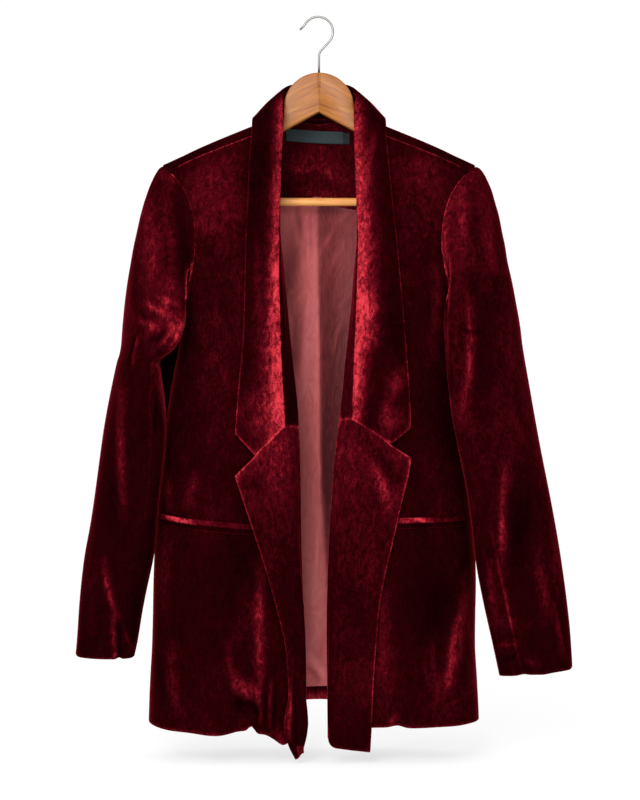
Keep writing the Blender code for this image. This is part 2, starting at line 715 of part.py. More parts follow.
def lapel_controls(side):
    rows = []
    for row in LAPEL[side]:
        base = edge_point(side, min(row.roll_drop, FRONT[side][0].edge_drop))
        base[2] = row.roll_drop
        roll = np.array([row.roll_out, row.roll_y, row.roll_drop], float)
        leaf_y = on_front(side, row.leaf_out, row.leaf_drop, LEAF_LIFT, row.roll_y)
        leaf = np.array([row.leaf_out, leaf_y, row.leaf_drop], float)
        middle = (roll + leaf) / 2
        middle[1] -= LEAF_SWELL
        rows.append([base, roll, middle, leaf])
    return np.array(rows)


collar_halves = []
for side, sign in SIDES.items():
    controls = collar_controls(side)
    at = np.linspace(0, len(controls) - 1, COLLAR_LINES + 1)
    flat = through(range(len(controls)), controls.reshape(len(controls), -1), at)
    grid = swept(flat.reshape(-1, 4, 3), np.clip(1 - at, 0, 1))
    front_rows = at < len(COLLAR[side]) - 1
    grid[front_rows] = kept_clear(grid[front_rows], side)
    collar_halves.append(placed(seam_pulled(grid, SEAM_GAP, "first"), sign))

    controls = lapel_controls(side)
    at = np.linspace(0, len(controls) - 1, LAPEL_LINES + 1)
    flat = through(range(len(controls)), controls.reshape(len(controls), -1), at)
    grid = kept_clear(swept(flat.reshape(-1, 4, 3), np.clip(1 - at, 0, 1)), side)
    grid = seam_pulled(grid, SEAM_GAP, "first")
    add_sheet(f"lapel_{side}", [placed(grid, sign)], VELVET_WALL, VELVET, (0, -1, 0))
add_sheet("collar", collar_halves, VELVET_WALL, VELVET, (0, -1, 0))


# Pocket jets: strips of the front's own points, moved out.
for side, sign in SIDES.items():
    pocket = POCKET[side]
    drops = [(row.edge_drop + row.side_drop) / 2 for row in FRONT[side]]
    shares = np.linspace(pocket.inner_share, pocket.outer_share, JET_STEPS + 1)
    half_gap = JET_GAP / 2
    for level, start, end in (
        ("upper", -pocket.height - half_gap, -half_gap),
        ("lower", half_gap, pocket.height + half_gap),
    ):
        strip = []
        for shift in (start, (start + end) / 2, end):
            mouth = np.interp(shares, [shares[0], shares[-1]], [pocket.inner_drop, pocket.outer_drop])
            rows = np.interp(-(mouth + shift), [-drop for drop in drops], range(len(drops)))
            line = [
                panel_points(FRONT[side], [row], [share], FRONT_FOLDS[side], -1)[0, 0]
                for row, share in zip(rows, shares)
            ]
            strip.append(line)
        strip = placed(np.array(strip), sign)
        normals = normals_of(strip, np.array([0.0, -1.0, 0.0]))
        strip = strip + normals * (JET_LIFT + JET_WALL)
        add_sheet(f"pocket_jet_{level}_{side}", [strip], JET_WALL, VELVET, (0, -1, 0))


# The inside of the back: the neck facing, the lining with its centre pleat, and the blank labels.
def inner_halves(rows, shares, depth):
    """Both halves of the back at some rows and shares, moved inwards."""
    halves = []
    for side, sign in SIDES.items():
        grid = placed(panel_points(back_sections[side], rows, shares, BACK_FOLDS, 1), sign)
        centre = np.abs(grid[..., 0]) < 1e-6
        grid = grid + normals_of(grid, np.array([0.0, -1.0, 0.0])) * depth
        grid[centre, 0] = 0
        halves.append(grid)
    return halves


facing_rows = back_rows[(back_rows > FACING_ROWS[0]) & (back_rows < FACING_ROWS[1])]
facing = inner_halves(facing_rows, back_shares[back_shares < FACING_SHARE], FACING_DEPTH)
add_sheet("back_neck_facing", facing, VELVET_WALL, VELVET, (0, -1, 0))

lining_rows = back_rows[(back_rows > LINING_ROWS[0]) & (back_rows < LINING_ROWS[1])]
lining_rows = np.concatenate([[LINING_ROWS[0]], lining_rows, [LINING_ROWS[1]]])
lining = inner_halves(lining_rows, back_shares[back_shares < LINING_SHARE], LINING_DEPTH)
for half in lining:
    pleat = PLEAT_DEPTH * np.tanh((half[..., 0] - PLEAT_OUT) / PLEAT_WIDTH)
    half[..., 1] += pleat * np.exp(-((half[..., 0] / PLEAT_REACH) ** 2))
add_sheet("back_lining", lining, LINING_WALL, SATIN, (0, -1, 0))

facing_tree = tree_of(facing)
for label in (LABEL, SIZE_TAB):
    across = np.linspace(*label["x"], LABEL_STEPS[0] + 1)
    rows = []
    for drop in np.linspace(*label["drop"], LABEL_STEPS[1] + 1):
        line = []
        for number, x in enumerate(across):
            z = -(drop + label["sag"] * number / LABEL_STEPS[0])
            line.append((x, front_y_at(facing_tree, x, z, BACK_TOP[-5].edge_y) - LABEL_LIFT, z))
        rows.append(line)
    add_sheet(label["name"], [np.array(rows)], LABEL_WALL, LABEL_CLOTH, (0, -1, 0))


# Hanger: two mitred wooden halves, a round trouser bar and a bent wire hook.
def add_curve(name, points, look, flat_thickness=0, wire=0):
    curve = bpy.data.curves.new(name, "CURVE")
    spline = curve.splines.new("POLY")
    spline.points.add(len(points) - 1)
    if wire:
        curve.dimensions = "3D"
        curve.bevel_depth = wire * MM
        curve.bevel_resolution = WIRE_ROUNDNESS
        curve.use_fill_caps = True
    else:
        curve.dimensions = "2D"
        curve.fill_mode = "BOTH"
        spline.use_cyclic_u = True
        curve.extrude = (flat_thickness / 2 - WOOD_EDGE) * MM
        curve.bevel_depth = WOOD_EDGE * MM
        curve.bevel_resolution = WOOD_ROUNDNESS
        curve.offset = -WOOD_EDGE * MM
    for place, (x, z) in zip(spline.points, points):
        place.co = (x * MM, z * MM, 0, 1)
    curve.materials.append(material_for(look))
    piece = bpy.data.objects.new(name, curve)
    piece.rotation_euler = (math.pi / 2, 0, 0)
    BLAZER.objects.link(piece)


def half_outline(sign):
    """The outline of one wooden half: round head, sloping arm, and a heel that seats the bar."""
    head = []
    for angle in np.linspace(*WOOD_HEAD_TURN, WOOD_HEAD_LINES):
        turn = math.radians(angle)
        head.append(
            (WOOD_HEAD_RADIUS * math.cos(turn), WOOD_TOP_DROP + WOOD_HEAD_RADIUS * (1 - math.sin(turn)))
        )
    head[0] = (SEAM_GAP / 2, WOOD_TOP_DROP)
    start_out, start_drop = ARM_TOP_START
    tip_drop = start_drop + (ARM_END_OUT + ARM_HEEL[0][0] - start_out) * ARM_SLOPE
    heel = [(ARM_END_OUT + out, tip_drop + drop) for out, drop in ARM_HEEL]
    seat = [(BAR_SEAT_OUT + out, BAR_DROP + drop) for out, drop in BAR_SEAT]
    under = [(out, WOOD_NOTCH_DROP + out * ARM_UNDER_SLOPE) for out in ARM_UNDER_OUTS]
    last = [(SEAM_GAP / 2, WOOD_NOTCH_DROP)]
    outline = head + WOOD_NECK + [ARM_TOP_START] + heel + seat + under + last
    return [(sign * out, -drop) for out, drop in outline]


def hook_path():
    path = []
    for angle in np.linspace(HOOK_OPEN_ANGLE, HOOK_CLOSE_ANGLE, HOOK_LINES):
        turn = math.radians(angle)
        across, up = HOOK_RADIUS * math.cos(turn), HOOK_RADIUS * math.sin(turn)
        path.append((HOOK_CENTRE[0] + across, HOOK_CENTRE[1] + up))
    lean = math.radians(HOOK_OPEN_ANGLE)
    start = (path[0][0] - HOOK_TIP_LENGTH * math.sin(lean), path[0][1] + HOOK_TIP_LENGTH * math.cos(lean))
    middle = ((start[0] + path[0][0]) / 2 + HOOK_TIP_BOW[0], (start[1] + path[0][1]) / 2 + HOOK_TIP_BOW[1])
    neck = [(x, -drop) for x, drop in HOOK_NECK + [(0.0, WOOD_TOP_DROP - SEAM_GAP)]]
    return [start, middle] + path + neck


for side, sign in SIDES.items():
    add_curve(f"hanger_half_{side}", half_outline(sign), WOOD, flat_thickness=WOOD_THICKNESS)
add_curve("hanger_hook", hook_path(), STEEL, wire=HOOK_WIRE)

bar_half = (BAR_SEAT_OUT - SEAM_GAP) * MM
bpy.ops.mesh.primitive_cylinder_add(
    vertices=BAR_FACETS,
    radius=BAR_RADIUS * MM,
    depth=2 * bar_half,
    location=(0, 0, -BAR_DROP * MM),
    rotation=(0, math.pi / 2, 0),
)
bar = bpy.context.object
bar.name = "hanger_bar"
bar.data.name = "hanger_bar"
bar.data.materials.append(material_for(WOOD))
bar.data.shade_smooth()
for collection in list(bar.users_collection):
    collection.objects.unlink(bar)
BLAZER.objects.link(bar)
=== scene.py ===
"""The looks of a velvet blazer hanging on a wooden hanger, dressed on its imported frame."""

import math
from collections import namedtuple

import bmesh
import bpy
import numpy as np
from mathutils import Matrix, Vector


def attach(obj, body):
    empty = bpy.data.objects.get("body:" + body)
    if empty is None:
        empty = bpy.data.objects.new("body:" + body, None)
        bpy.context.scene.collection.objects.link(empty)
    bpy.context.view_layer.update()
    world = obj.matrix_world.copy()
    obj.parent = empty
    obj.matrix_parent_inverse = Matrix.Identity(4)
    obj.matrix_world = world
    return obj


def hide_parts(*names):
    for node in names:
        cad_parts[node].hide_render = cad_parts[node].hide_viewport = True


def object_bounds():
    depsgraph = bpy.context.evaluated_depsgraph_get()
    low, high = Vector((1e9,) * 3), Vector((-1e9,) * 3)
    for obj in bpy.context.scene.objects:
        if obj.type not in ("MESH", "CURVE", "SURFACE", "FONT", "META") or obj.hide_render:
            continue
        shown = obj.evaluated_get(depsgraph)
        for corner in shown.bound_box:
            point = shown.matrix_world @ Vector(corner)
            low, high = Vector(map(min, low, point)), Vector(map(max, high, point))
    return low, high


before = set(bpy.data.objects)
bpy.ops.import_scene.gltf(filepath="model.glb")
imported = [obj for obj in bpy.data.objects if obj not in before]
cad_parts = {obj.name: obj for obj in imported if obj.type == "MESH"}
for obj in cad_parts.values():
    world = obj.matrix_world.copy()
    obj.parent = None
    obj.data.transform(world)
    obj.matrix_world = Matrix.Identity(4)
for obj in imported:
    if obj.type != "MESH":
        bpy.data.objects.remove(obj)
cad_low, cad_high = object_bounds()

# The studio: a white floor just under the hem, an even white surround with a large soft light at
# the upper left, and a camera three metres in front, level with the middle of the blazer.
FLOOR_GAP = 0.006
FLOOR_TONE = 0.32
FLOOR_GLOW = 0.68
FLOOR_SIZE = 80.0
CAMERA_PLACE = (0.0012, -3.0, -0.4584)
CAMERA_LENS = 112.5
CAMERA_SENSOR = 36.0
CAMERA_SIGHT = 200.0
KEY_PLACE = (-0.8, -2.9, 0.6)
KEY_SIZE = 1.6
KEY_POWER = 95.0
SURROUND_STRENGTH = 1.04

scene = bpy.context.scene
scene.view_settings.view_transform = "Standard"
bpy.ops.object.select_all(action="DESELECT")
bpy.ops.mesh.primitive_plane_add(size=FLOOR_SIZE, location=(0, 0, cad_low.z - FLOOR_GAP))
floor = bpy.context.object
floor.name = "floor"
paper = bpy.data.materials.new("studio_paper")
paper.use_nodes = True
paper_shader = paper.node_tree.nodes["Principled BSDF"]
paper_shader.inputs["Base Color"].default_value = (FLOOR_TONE, FLOOR_TONE, FLOOR_TONE, 1)
paper_shader.inputs["Roughness"].default_value = 1.0
paper_shader.inputs["Specular IOR Level"].default_value = 0.0
paper_shader.inputs["Emission Color"].default_value = (1, 1, 1, 1)
paper_shader.inputs["Emission Strength"].default_value = FLOOR_GLOW
floor.data.materials.append(paper)

surround = bpy.data.worlds.new("studio_surround")
surround.use_nodes = True
surround.node_tree.nodes["Background"].inputs["Color"].default_value = (1, 1, 1, 1)
surround.node_tree.nodes["Background"].inputs["Strength"].default_value = SURROUND_STRENGTH
scene.world = surround

bpy.ops.object.light_add(type="AREA", location=KEY_PLACE)
key = bpy.context.object
key.name = "key_light"
key.data.energy = KEY_POWER
key.data.size = KEY_SIZE
middle = (cad_low + cad_high) / 2
key.rotation_euler = (middle - key.location).to_track_quat("-Z", "Y").to_euler()

bpy.ops.object.camera_add(location=CAMERA_PLACE, rotation=(math.pi / 2, 0, 0))
camera = bpy.context.object
camera.name = "camera"
camera.data.lens = CAMERA_LENS
camera.data.sensor_width = CAMERA_SENSOR
camera.data.clip_end = CAMERA_SIGHT
scene.camera = camera

# The hook: one bent length of polished steel wire, screwed into the top of the wood.
# Its drawn surface is faintly uneven, so its gloss varies along the wire.
WIRE_COLOUR = (0.27, 0.26, 0.25)
WIRE_ROUGHNESS = 0.45
WIRE_ROUGHNESS_RANGE = (0.4, 0.5)
WIRE_GRAIN = (90, 90, 40)
WELD_REACH = 1e-6
JOIN_ANGLE = math.radians(60)


def new_finish(name, colour, roughness, metallic=0.0):
    """A material with its constants on the shader's own sockets, and the parts needed to add nodes."""
    material = bpy.data.materials.new(name)
    material.use_nodes = True
    nodes = material.node_tree.nodes
    shader = nodes["Principled BSDF"]
    shader.inputs["Base Color"].default_value = (*colour, 1)
    shader.inputs["Roughness"].default_value = roughness
    shader.inputs["Metallic"].default_value = metallic
    return material, nodes, material.node_tree.links, shader


def add_noise(nodes, links, vector, scale, detail=4.0, roughness=0.5, distortion=0.0):
    noise = nodes.new("ShaderNodeTexNoise")
    noise.inputs["Scale"].default_value = scale
    noise.inputs["Detail"].default_value = detail
    noise.inputs["Roughness"].default_value = roughness
    noise.inputs["Distortion"].default_value = distortion
    links.new(vector, noise.inputs["Vector"])
    return noise.outputs["Fac"]


def add_stretch(nodes, links, vector, scale, turn=(0, 0, 0)):
    mapping = nodes.new("ShaderNodeMapping")
    mapping.inputs["Scale"].default_value = scale
    mapping.inputs["Rotation"].default_value = turn
    links.new(vector, mapping.inputs["Vector"])
    return mapping.outputs["Vector"]


def add_ramp(nodes, links, factor, stops):
    """A colour ramp from rows of place and colour."""
    ramp = nodes.new("ShaderNodeValToRGB")
    ramp.color_ramp.elements.remove(ramp.color_ramp.elements[0])
    for number, (place, colour) in enumerate(stops):
        stop = ramp.color_ramp.elements[0] if number == 0 else ramp.color_ramp.elements.new(place)
        stop.position = place
        stop.color = (*colour, 1)
    links.new(factor, ramp.inputs["Fac"])
    return ramp.outputs["Color"]


def add_roughness(nodes, links, shader, factor, low, high):
    """Lets the roughness follow a texture, between two values."""
    stops = [(0.3, (low, low, low)), (0.7, (high, high, high))]
    links.new(add_ramp(nodes, links, factor, stops), shader.inputs["Roughness"])


def object_place(nodes):
    return nodes.new("ShaderNodeTexCoord").outputs["Object"]


def welded_copy(node, name):
    """A copy of a node with its loose triangles merged, as an object of its own."""
    shape = bmesh.new()
    shape.from_mesh(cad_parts[node].data)
    bmesh.ops.remove_doubles(shape, verts=shape.verts, dist=WELD_REACH)
    bmesh.ops.join_triangles(
        shape,
        faces=shape.faces,
        angle_face_threshold=JOIN_ANGLE,
        angle_shape_threshold=math.pi,
    )
    mesh = bpy.data.meshes.new(name)
    shape.to_mesh(mesh)
    shape.free()
    piece = bpy.data.objects.new(name, mesh)
    scene.collection.objects.link(piece)
    return piece


def coat(piece, material):
    """Gives the piece one material."""
    piece.data.materials.clear()
    piece.data.materials.append(material)


wire, nodes, links, shader = new_finish("hook_wire", WIRE_COLOUR, WIRE_ROUGHNESS, 1.0)
grain = add_noise(nodes, links, add_stretch(nodes, links, object_place(nodes), WIRE_GRAIN), 1.0)
add_roughness(nodes, links, shader, grain, *WIRE_ROUGHNESS_RANGE)
hook = welded_copy("hanger_hook", "hook")
hook.data.shade_smooth()
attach(hook, "root")
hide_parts("hanger_hook")
coat(hook, wire)

# The hanger's wood: two lacquered halves mitred at the middle, so the grain makes a chevron, and a
# round trouser bar between their heels, with its grain along it.
GRAIN_SLOPE = math.radians(24)
WOOD_TONES = [
    (0.3, (0.185, 0.057, 0.010)),
    (0.5, (0.27, 0.093, 0.018)),
    (0.7, (0.36, 0.137, 0.031)),
]
BAR_TONES = [
    (0.25, (0.50, 0.19, 0.045)),
    (0.5, (0.64, 0.27, 0.07)),
    (0.75, (0.76, 0.35, 0.11)),
]
WOOD_ROUGHNESS = 0.42
WOOD_ROUGHNESS_RANGE = (0.36, 0.5)
WOOD_SPECULAR = 0.25
GRAIN_STRETCH = (12, 80, 130)
PORE_STRETCH = (45, 700, 900)
PORE_SHARE = 0.6
PORE_BUMP = (0.12, 0.0006)
MITRE_REACH = 2.75
MITRE_GAP = 0.02
SMOOTH_ANGLE = math.radians(40)
MM = 0.001


def add_maths(nodes, links, operation, first, second):
    maths = nodes.new("ShaderNodeMath")
    maths.operation = operation
    for socket, value in zip(maths.inputs, (first, second)):
        if isinstance(value, (int, float)):
            socket.default_value = value
        else:
            links.new(value, socket)
    return maths.outputs["Value"]


def add_swing(nodes, links, texture, amount):
    """A texture's swing to either side of its middle, by an amount."""
    swing = add_maths(nodes, links, "MULTIPLY_ADD", texture, amount)
    swing.node.inputs[2].default_value = -0.5 * amount
    return swing


def add_bump(nodes, links, shader, height, strength, distance):
    bump = nodes.new("ShaderNodeBump")
    bump.inputs["Strength"].default_value = strength
    bump.inputs["Distance"].default_value = distance
    links.new(height, bump.inputs["Height"])
    links.new(bump.outputs["Normal"], shader.inputs["Normal"])
    return bump


def wood_finish(name, tones, slope, mirrored):
    material, nodes, links, shader = new_finish(name, tones[1][1], WOOD_ROUGHNESS)
    shader.inputs["Specular IOR Level"].default_value = WOOD_SPECULAR
    place = object_place(nodes)
    if mirrored:
        parts = nodes.new("ShaderNodeSeparateXYZ")
        links.new(place, parts.inputs["Vector"])
        joined = nodes.new("ShaderNodeCombineXYZ")
        links.new(add_maths(nodes, links, "ABSOLUTE", parts.outputs["X"], 0.0), joined.inputs["X"])
        links.new(parts.outputs["Y"], joined.inputs["Y"])
        links.new(parts.outputs["Z"], joined.inputs["Z"])
        place = joined.outputs["Vector"]
    turned = add_stretch(nodes, links, place, (1, 1, 1), (0, slope, 0))
    along = add_stretch(nodes, links, turned, GRAIN_STRETCH)
    broad = add_noise(nodes, links, along, 1.0, detail=5.0, roughness=0.65, distortion=0.6)
    fine = add_stretch(nodes, links, turned, PORE_STRETCH)
    pores = add_noise(nodes, links, fine, 1.0, detail=2.0, roughness=0.6)
    tone = add_maths(nodes, links, "ADD", broad, add_swing(nodes, links, pores, PORE_SHARE))
    links.new(add_ramp(nodes, links, tone, tones), shader.inputs["Base Color"])
    add_roughness(nodes, links, shader, pores, *WOOD_ROUGHNESS_RANGE)
    add_bump(nodes, links, shader, pores, *PORE_BUMP)
    return material


def make_active(piece):
    bpy.ops.object.select_all(action="DESELECT")
    piece.select_set(True)
    bpy.context.view_layer.objects.active = piece


def points_of(piece):
    """The piece's points in millimetres."""
    points = np.empty(len(piece.data.vertices) * 3, np.float32)
    piece.data.vertices.foreach_get("co", points)
    return points.reshape(-1, 3).astype(float) / MM


def set_points(piece, points):
    piece.data.vertices.foreach_set("co", (points * MM).astype(np.float32).ravel())
    piece.data.update()


lacquered_wood = wood_finish("hanger_wood_chevron", WOOD_TONES, -GRAIN_SLOPE, True)
bar_wood = wood_finish("hanger_bar_wood", BAR_TONES, 0.0, False)
for node, finish in (
    ("hanger_half_left", lacquered_wood),
    ("hanger_half_right", lacquered_wood),
    ("hanger_bar", bar_wood),
):
    piece = welded_copy(node, node.replace("hanger", "wood"))
    if finish is lacquered_wood:
        points = points_of(piece)
        mitred = np.abs(points[:, 0]) < MITRE_REACH
        points[mitred, 0] = np.sign(points[mitred, 0]) * MITRE_GAP
        set_points(piece, points)
    make_active(piece)
    bpy.ops.object.shade_smooth_by_angle(angle=SMOOTH_ANGLE)
    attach(piece, "root")
    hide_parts(node)
    coat(piece, finish)

# The back: one velvet panel from the hem over the shoulders to the forward shoulder seams.
# Crushed pile is dark face-on and bright where it is brushed; the brightness on ridges and along turned
# edges is painted highlight, and crease valleys carry painted shade.
VELVET_WALL = 0.002
FIT_ROUNDS = 3
FIT_SHARE = 0.8
RIM_CREASE = 0.55
RIM_WALLS = 1.35
RIM_TURN = math.radians(35)
SEAM_OVERLAP = 0.0007
SEAM_PUSH_LEAST = 0.3
CREASE_END_POWER = 0.7
CREASE_SHOULDER = 0.4
PATCH_POWER = 1.3
PILE_TONES = [
    (0.0, (0.004, 0.0001, 0.0004)),
    (0.25, (0.014, 0.0003, 0.0010)),
    (0.5, (0.052, 0.0013, 0.0038)),
    (0.75, (0.18, 0.0070, 0.0130)),
    (1.0, (0.46, 0.027, 0.040)),
]
PILE_ROUGHNESS = 0.8
SHEEN_COLOUR = (0.8, 0.03, 0.05)
SHEEN_WEIGHT = 0.4
SHEEN_ROUGHNESS = 0.22
FLECK_RELIEF = 0.7
PILE_BUMP = (0.25, 0.0012)

# The pile's textures, from broad drifts to single tufts. Each shifts the tone by an even amount, and
# by more where the stored pile level is high, painted highlights included.
Grain = namedtuple("Grain", "stretch scale detail roughness distortion even crushed")
PILE_GRAINS = {
    "drifts": Grain((1, 1, 0.6), 18.0, 3.0, 0.5, 0.3, 0.35, 0.1),
    "crush": Grain((1.4, 1, 0.8), 80.0, 5.0, 0.6, 1.2, 0.16, 1.2),
    "flecks": Grain((1.5, 1, 0.7), 230.0, 6.0, 0.75, 0.8, 0.3, 1.3),
    "tufts": Grain((1, 1, 1), 900.0, 2.0, 0.6, 0.0, 0.3, 0.4),
}

# Rows are in millimetres in the plane of the blazer. A crease runs from its top to its low end,
# bows sideways and stands out by height; its shine is painted light, a highlight along the ridge and
# shade where negative. A patch lightens or darkens the pile: brushed pile, with painted highlights and
# shadows among them.
Crease = namedtuple("Crease", "x_top z_top x_low z_low bow width height shine")
Patch = namedtuple("Patch", "x z reach_x reach_z lean shine")

BACK_CREASES = [
    Crease(-60, -470, -72, -815, 6, 22, 3.0, 0.12),
    Crease(55, -500, 78, -820, -8, 20, 3.5, 0.14),
    Crease(-128, -560, -140, -820, 5, 14, -3.0, -0.05),
    Crease(126, -600, 135, -820, -6, 16, 3.0, 0.12),
    Crease(-170, -640, -178, -820, 4, 12, 3.0, 0.15),
    Crease(20, -620, 8, -820, 5, 18, -2.5, -0.05),
    Crease(-110, -250, -125, -380, -6, 16, 2.5, 0.15),
    Crease(118, -260, 128, -400, 5, 14, 2.5, 0.15),
]
BACK_PATCHES = [
    Patch(0, -250, 110, 60, 0, 0.12),
    Patch(-90, -700, 40, 90, 8, 0.1),
    Patch(100, -620, 35, 110, -6, 0.12),
    Patch(0, -150, 170, 26, 0, -0.1),
]
# The back's base pile level, a painted highlight along its rim, painted shade on its forward strip seen
# above the shoulder seam, and a painted highlight along the inside of the hem.
BACK_NAP = 0.22
BACK_RIM_HIGHLIGHT = 0.1
BACK_STRIP_SHADE = -0.05
BACK_STRIP_Y = 12
BACK_HEM_SHINE = 0.5
BACK_HEM_Z = -826
BACK_HEM_SPREAD = 14

# Stretches over which a change comes in, from none to all of it: the panel's rear, its shoulder tips,
# its neck, and the edge of the neck that is lifted up to the collar.
REAR_Y = (20, 50)
TIP_REACH = 4.0
TIP_X = (162, 180)
TIP_Z = (-204, -192)
BACK_NECK_CLOSING = (3.5, 7.0)
BACK_NECK_X = 65
BACK_NECK_Y = (12, -4)
BACK_NECK_Z = (-165, -145)
NECK_SPREAD = 9
NECK_LIFT = (6.0, 7.0)
NECK_LIFT_X = 85
NECK_LIFT_Y = 25
NECK_LIFT_Z = (-150, -135)


def velvet_finish():
    material, nodes, links, shader = new_finish("velvet_pile", PILE_TONES[2][1], PILE_ROUGHNESS)
    shader.inputs["Specular IOR Level"].default_value = 0.0
    shader.inputs["Sheen Weight"].default_value = SHEEN_WEIGHT
    shader.inputs["Sheen Roughness"].default_value = SHEEN_ROUGHNESS
    shader.inputs["Sheen Tint"].default_value = (*SHEEN_COLOUR, 1)
    place = object_place(nodes)
    # The stored level holds brushed pile together with painted highlights and painted shade; the ramp
    # below turns it into the base colour.
    nap_and_light = nodes.new("ShaderNodeAttribute")
    nap_and_light.attribute_name = "nap_and_light"
    nap_and_light_level = nap_and_light.outputs["Fac"]
    level = nap_and_light_level
    textures = {}
    for name, grain in PILE_GRAINS.items():
        vector = add_stretch(nodes, links, place, grain.stretch)
        texture = add_noise(
            nodes, links, vector, grain.scale, grain.detail, grain.roughness, grain.distortion
        )
        amount = add_maths(nodes, links, "MULTIPLY_ADD", nap_and_light_level, grain.crushed)
        amount.node.inputs[2].default_value = grain.even
        swing = add_maths(nodes, links, "SUBTRACT", texture, 0.5)
        level = add_maths(nodes, links, "ADD", level, add_maths(nodes, links, "MULTIPLY", swing, amount))
        textures[name] = texture
    links.new(add_ramp(nodes, links, level, PILE_TONES), shader.inputs["Base Color"])
    flecks = add_maths(nodes, links, "MULTIPLY", textures["flecks"], FLECK_RELIEF)
    height = add_maths(nodes, links, "ADD", flecks, textures["tufts"])
    add_bump(nodes, links, shader, height, *PILE_BUMP)
    return material


def subdivided(piece, levels):
    """The piece with Catmull-Clark levels applied, smooth all over, still passing through its points."""
    modifier = piece.modifiers.new("finer", "SUBSURF")
    modifier.levels = levels
    modifier.render_levels = levels
    wanted = points_of(piece)
    for _ in range(FIT_ROUNDS):
        bpy.context.view_layer.update()
        fine = piece.evaluated_get(bpy.context.evaluated_depsgraph_get())
        set_points(piece, points_of(piece) + FIT_SHARE * (wanted - points_of(fine)[: len(wanted)]))
    make_active(piece)
    bpy.ops.object.modifier_apply(modifier=modifier.name)
    piece.data.shade_smooth()


def crease_rim(piece, wall):
    """Creases the outline of a thin shell, so that it keeps its shape, and marks its points as rim."""
    shape = bmesh.new()
    shape.from_mesh(piece.data)
    crease = shape.edges.layers.float.new("crease_edge")
    rim = shape.verts.layers.float.new("rim")
    short = {edge for edge in shape.edges if edge.calc_length() < RIM_WALLS * wall}
    rim_faces = {face for face in shape.faces if sum(edge in short for edge in face.edges) >= 2}
    for edge in shape.edges:
        beside = [face in rim_faces for face in edge.link_faces]
        turned = edge in short and all(beside) and edge.calc_face_angle(0.0) > RIM_TURN
        if any(beside) != all(beside) or turned:
            edge[crease] = RIM_CREASE
        if any(beside):
            for vertex in edge.verts:
                vertex[rim] = 1.0
    moves = {}
    for face in rim_faces:
        for vertex in face.verts:
            moves.setdefault(vertex, []).append(face.normal.copy())
    for vertex, normals in moves.items():
        way = sum(normals, normals[0] * 0)
        if way.length > SEAM_PUSH_LEAST:
            vertex.co += way.normalized() * SEAM_OVERLAP
    shape.to_mesh(piece.data)
    shape.free()


def cloth_shell(node, name, wall, levels):
    """A fine closed shell on the form of a cloth node."""
    piece = welded_copy(node, name)
    crease_rim(piece, wall)
    subdivided(piece, levels)
    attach(piece, "root")
    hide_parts(node)
    return piece


def rising(values, start, end):
    """How far values have come from a start to an end, from 0 to 1."""
    return np.clip((values - start) / (end - start), 0, 1)


def hump(values, middle, spread):
    """A smooth hump of height 1 about a middle."""
    return np.exp(-(((values - middle) / spread) ** 2))


def pressed(x, z, creases):
    """The height that creases give at points of the blazer's plane, and their shine: painted highlight
    on ridges, painted shade where negative.
    """
    height = np.zeros_like(x)
    shine = np.zeros_like(x)
    for crease in creases:
        run_x, run_z = crease.x_low - crease.x_top, crease.z_low - crease.z_top
        length = math.hypot(run_x, run_z)
        share = ((x - crease.x_top) * run_x + (z - crease.z_top) * run_z) / length**2
        inside = np.clip(share, 0, 1)
        across = ((x - crease.x_top) * run_z - (z - crease.z_top) * run_x) / length
        across = across - crease.bow * 4 * inside * (1 - inside)
        ends = np.sin(math.pi * inside) ** CREASE_END_POWER
        ridge = ends * hump(across, 0, crease.width)
        height += crease.height * ridge * (1 - CREASE_SHOULDER * (across / crease.width) ** 2)
        shine += crease.shine * ridge
    return height, shine


def brushing_and_painted_light(x, z, patches):
    """The brightness that patches give: brushed pile, with painted highlights and painted shadows among
    the patches.
    """
    shine = np.zeros_like(x)
    for patch in patches:
        turn = math.radians(patch.lean)
        right = (x - patch.x) * math.cos(turn) + (z - patch.z) * math.sin(turn)
        up = (z - patch.z) * math.cos(turn) - (x - patch.x) * math.sin(turn)
        away = (right / patch.reach_x) ** 2 + (up / patch.reach_z) ** 2
        shine += patch.shine * np.exp(-(away**PATCH_POWER))
    return shine


def facing_of(piece):
    """The way the piece faces at each of its points."""
    ways = np.empty(len(piece.data.vertices) * 3, np.float32)
    piece.data.vertex_normals.foreach_get("vector", ways)
    return ways.reshape(-1, 3)


def rim_of(piece):
    """How near each point is to the outline of its shell, from 0 to 1 on the outline."""
    rim = np.empty(len(piece.data.vertices), np.float32)
    piece.data.attributes["rim"].data.foreach_get("value", rim)
    return np.clip(rim, 0, 1)


def store_level(piece, name, values):
    """Stores a level from 0 to 1 at each point, for the piece's material to read."""
    layer = piece.data.attributes.new(name, "FLOAT", "POINT")
    layer.data.foreach_set("value", np.clip(values, 0, 1).astype(np.float32))


def paint_nap_and_light(piece, nap_and_light, painted_rim_light_and_shade=0.22, rim_fade=14.0):
    """Stores the pile level at each point, brushed pile with painted highlights and painted shade, and
    paints light along the rim: a highlight where positive, shade where negative.
    """
    store_level(piece, "nap_and_light", nap_and_light + painted_rim_light_and_shade * rim_of(piece) ** rim_fade)
    coat(piece, VELVET)


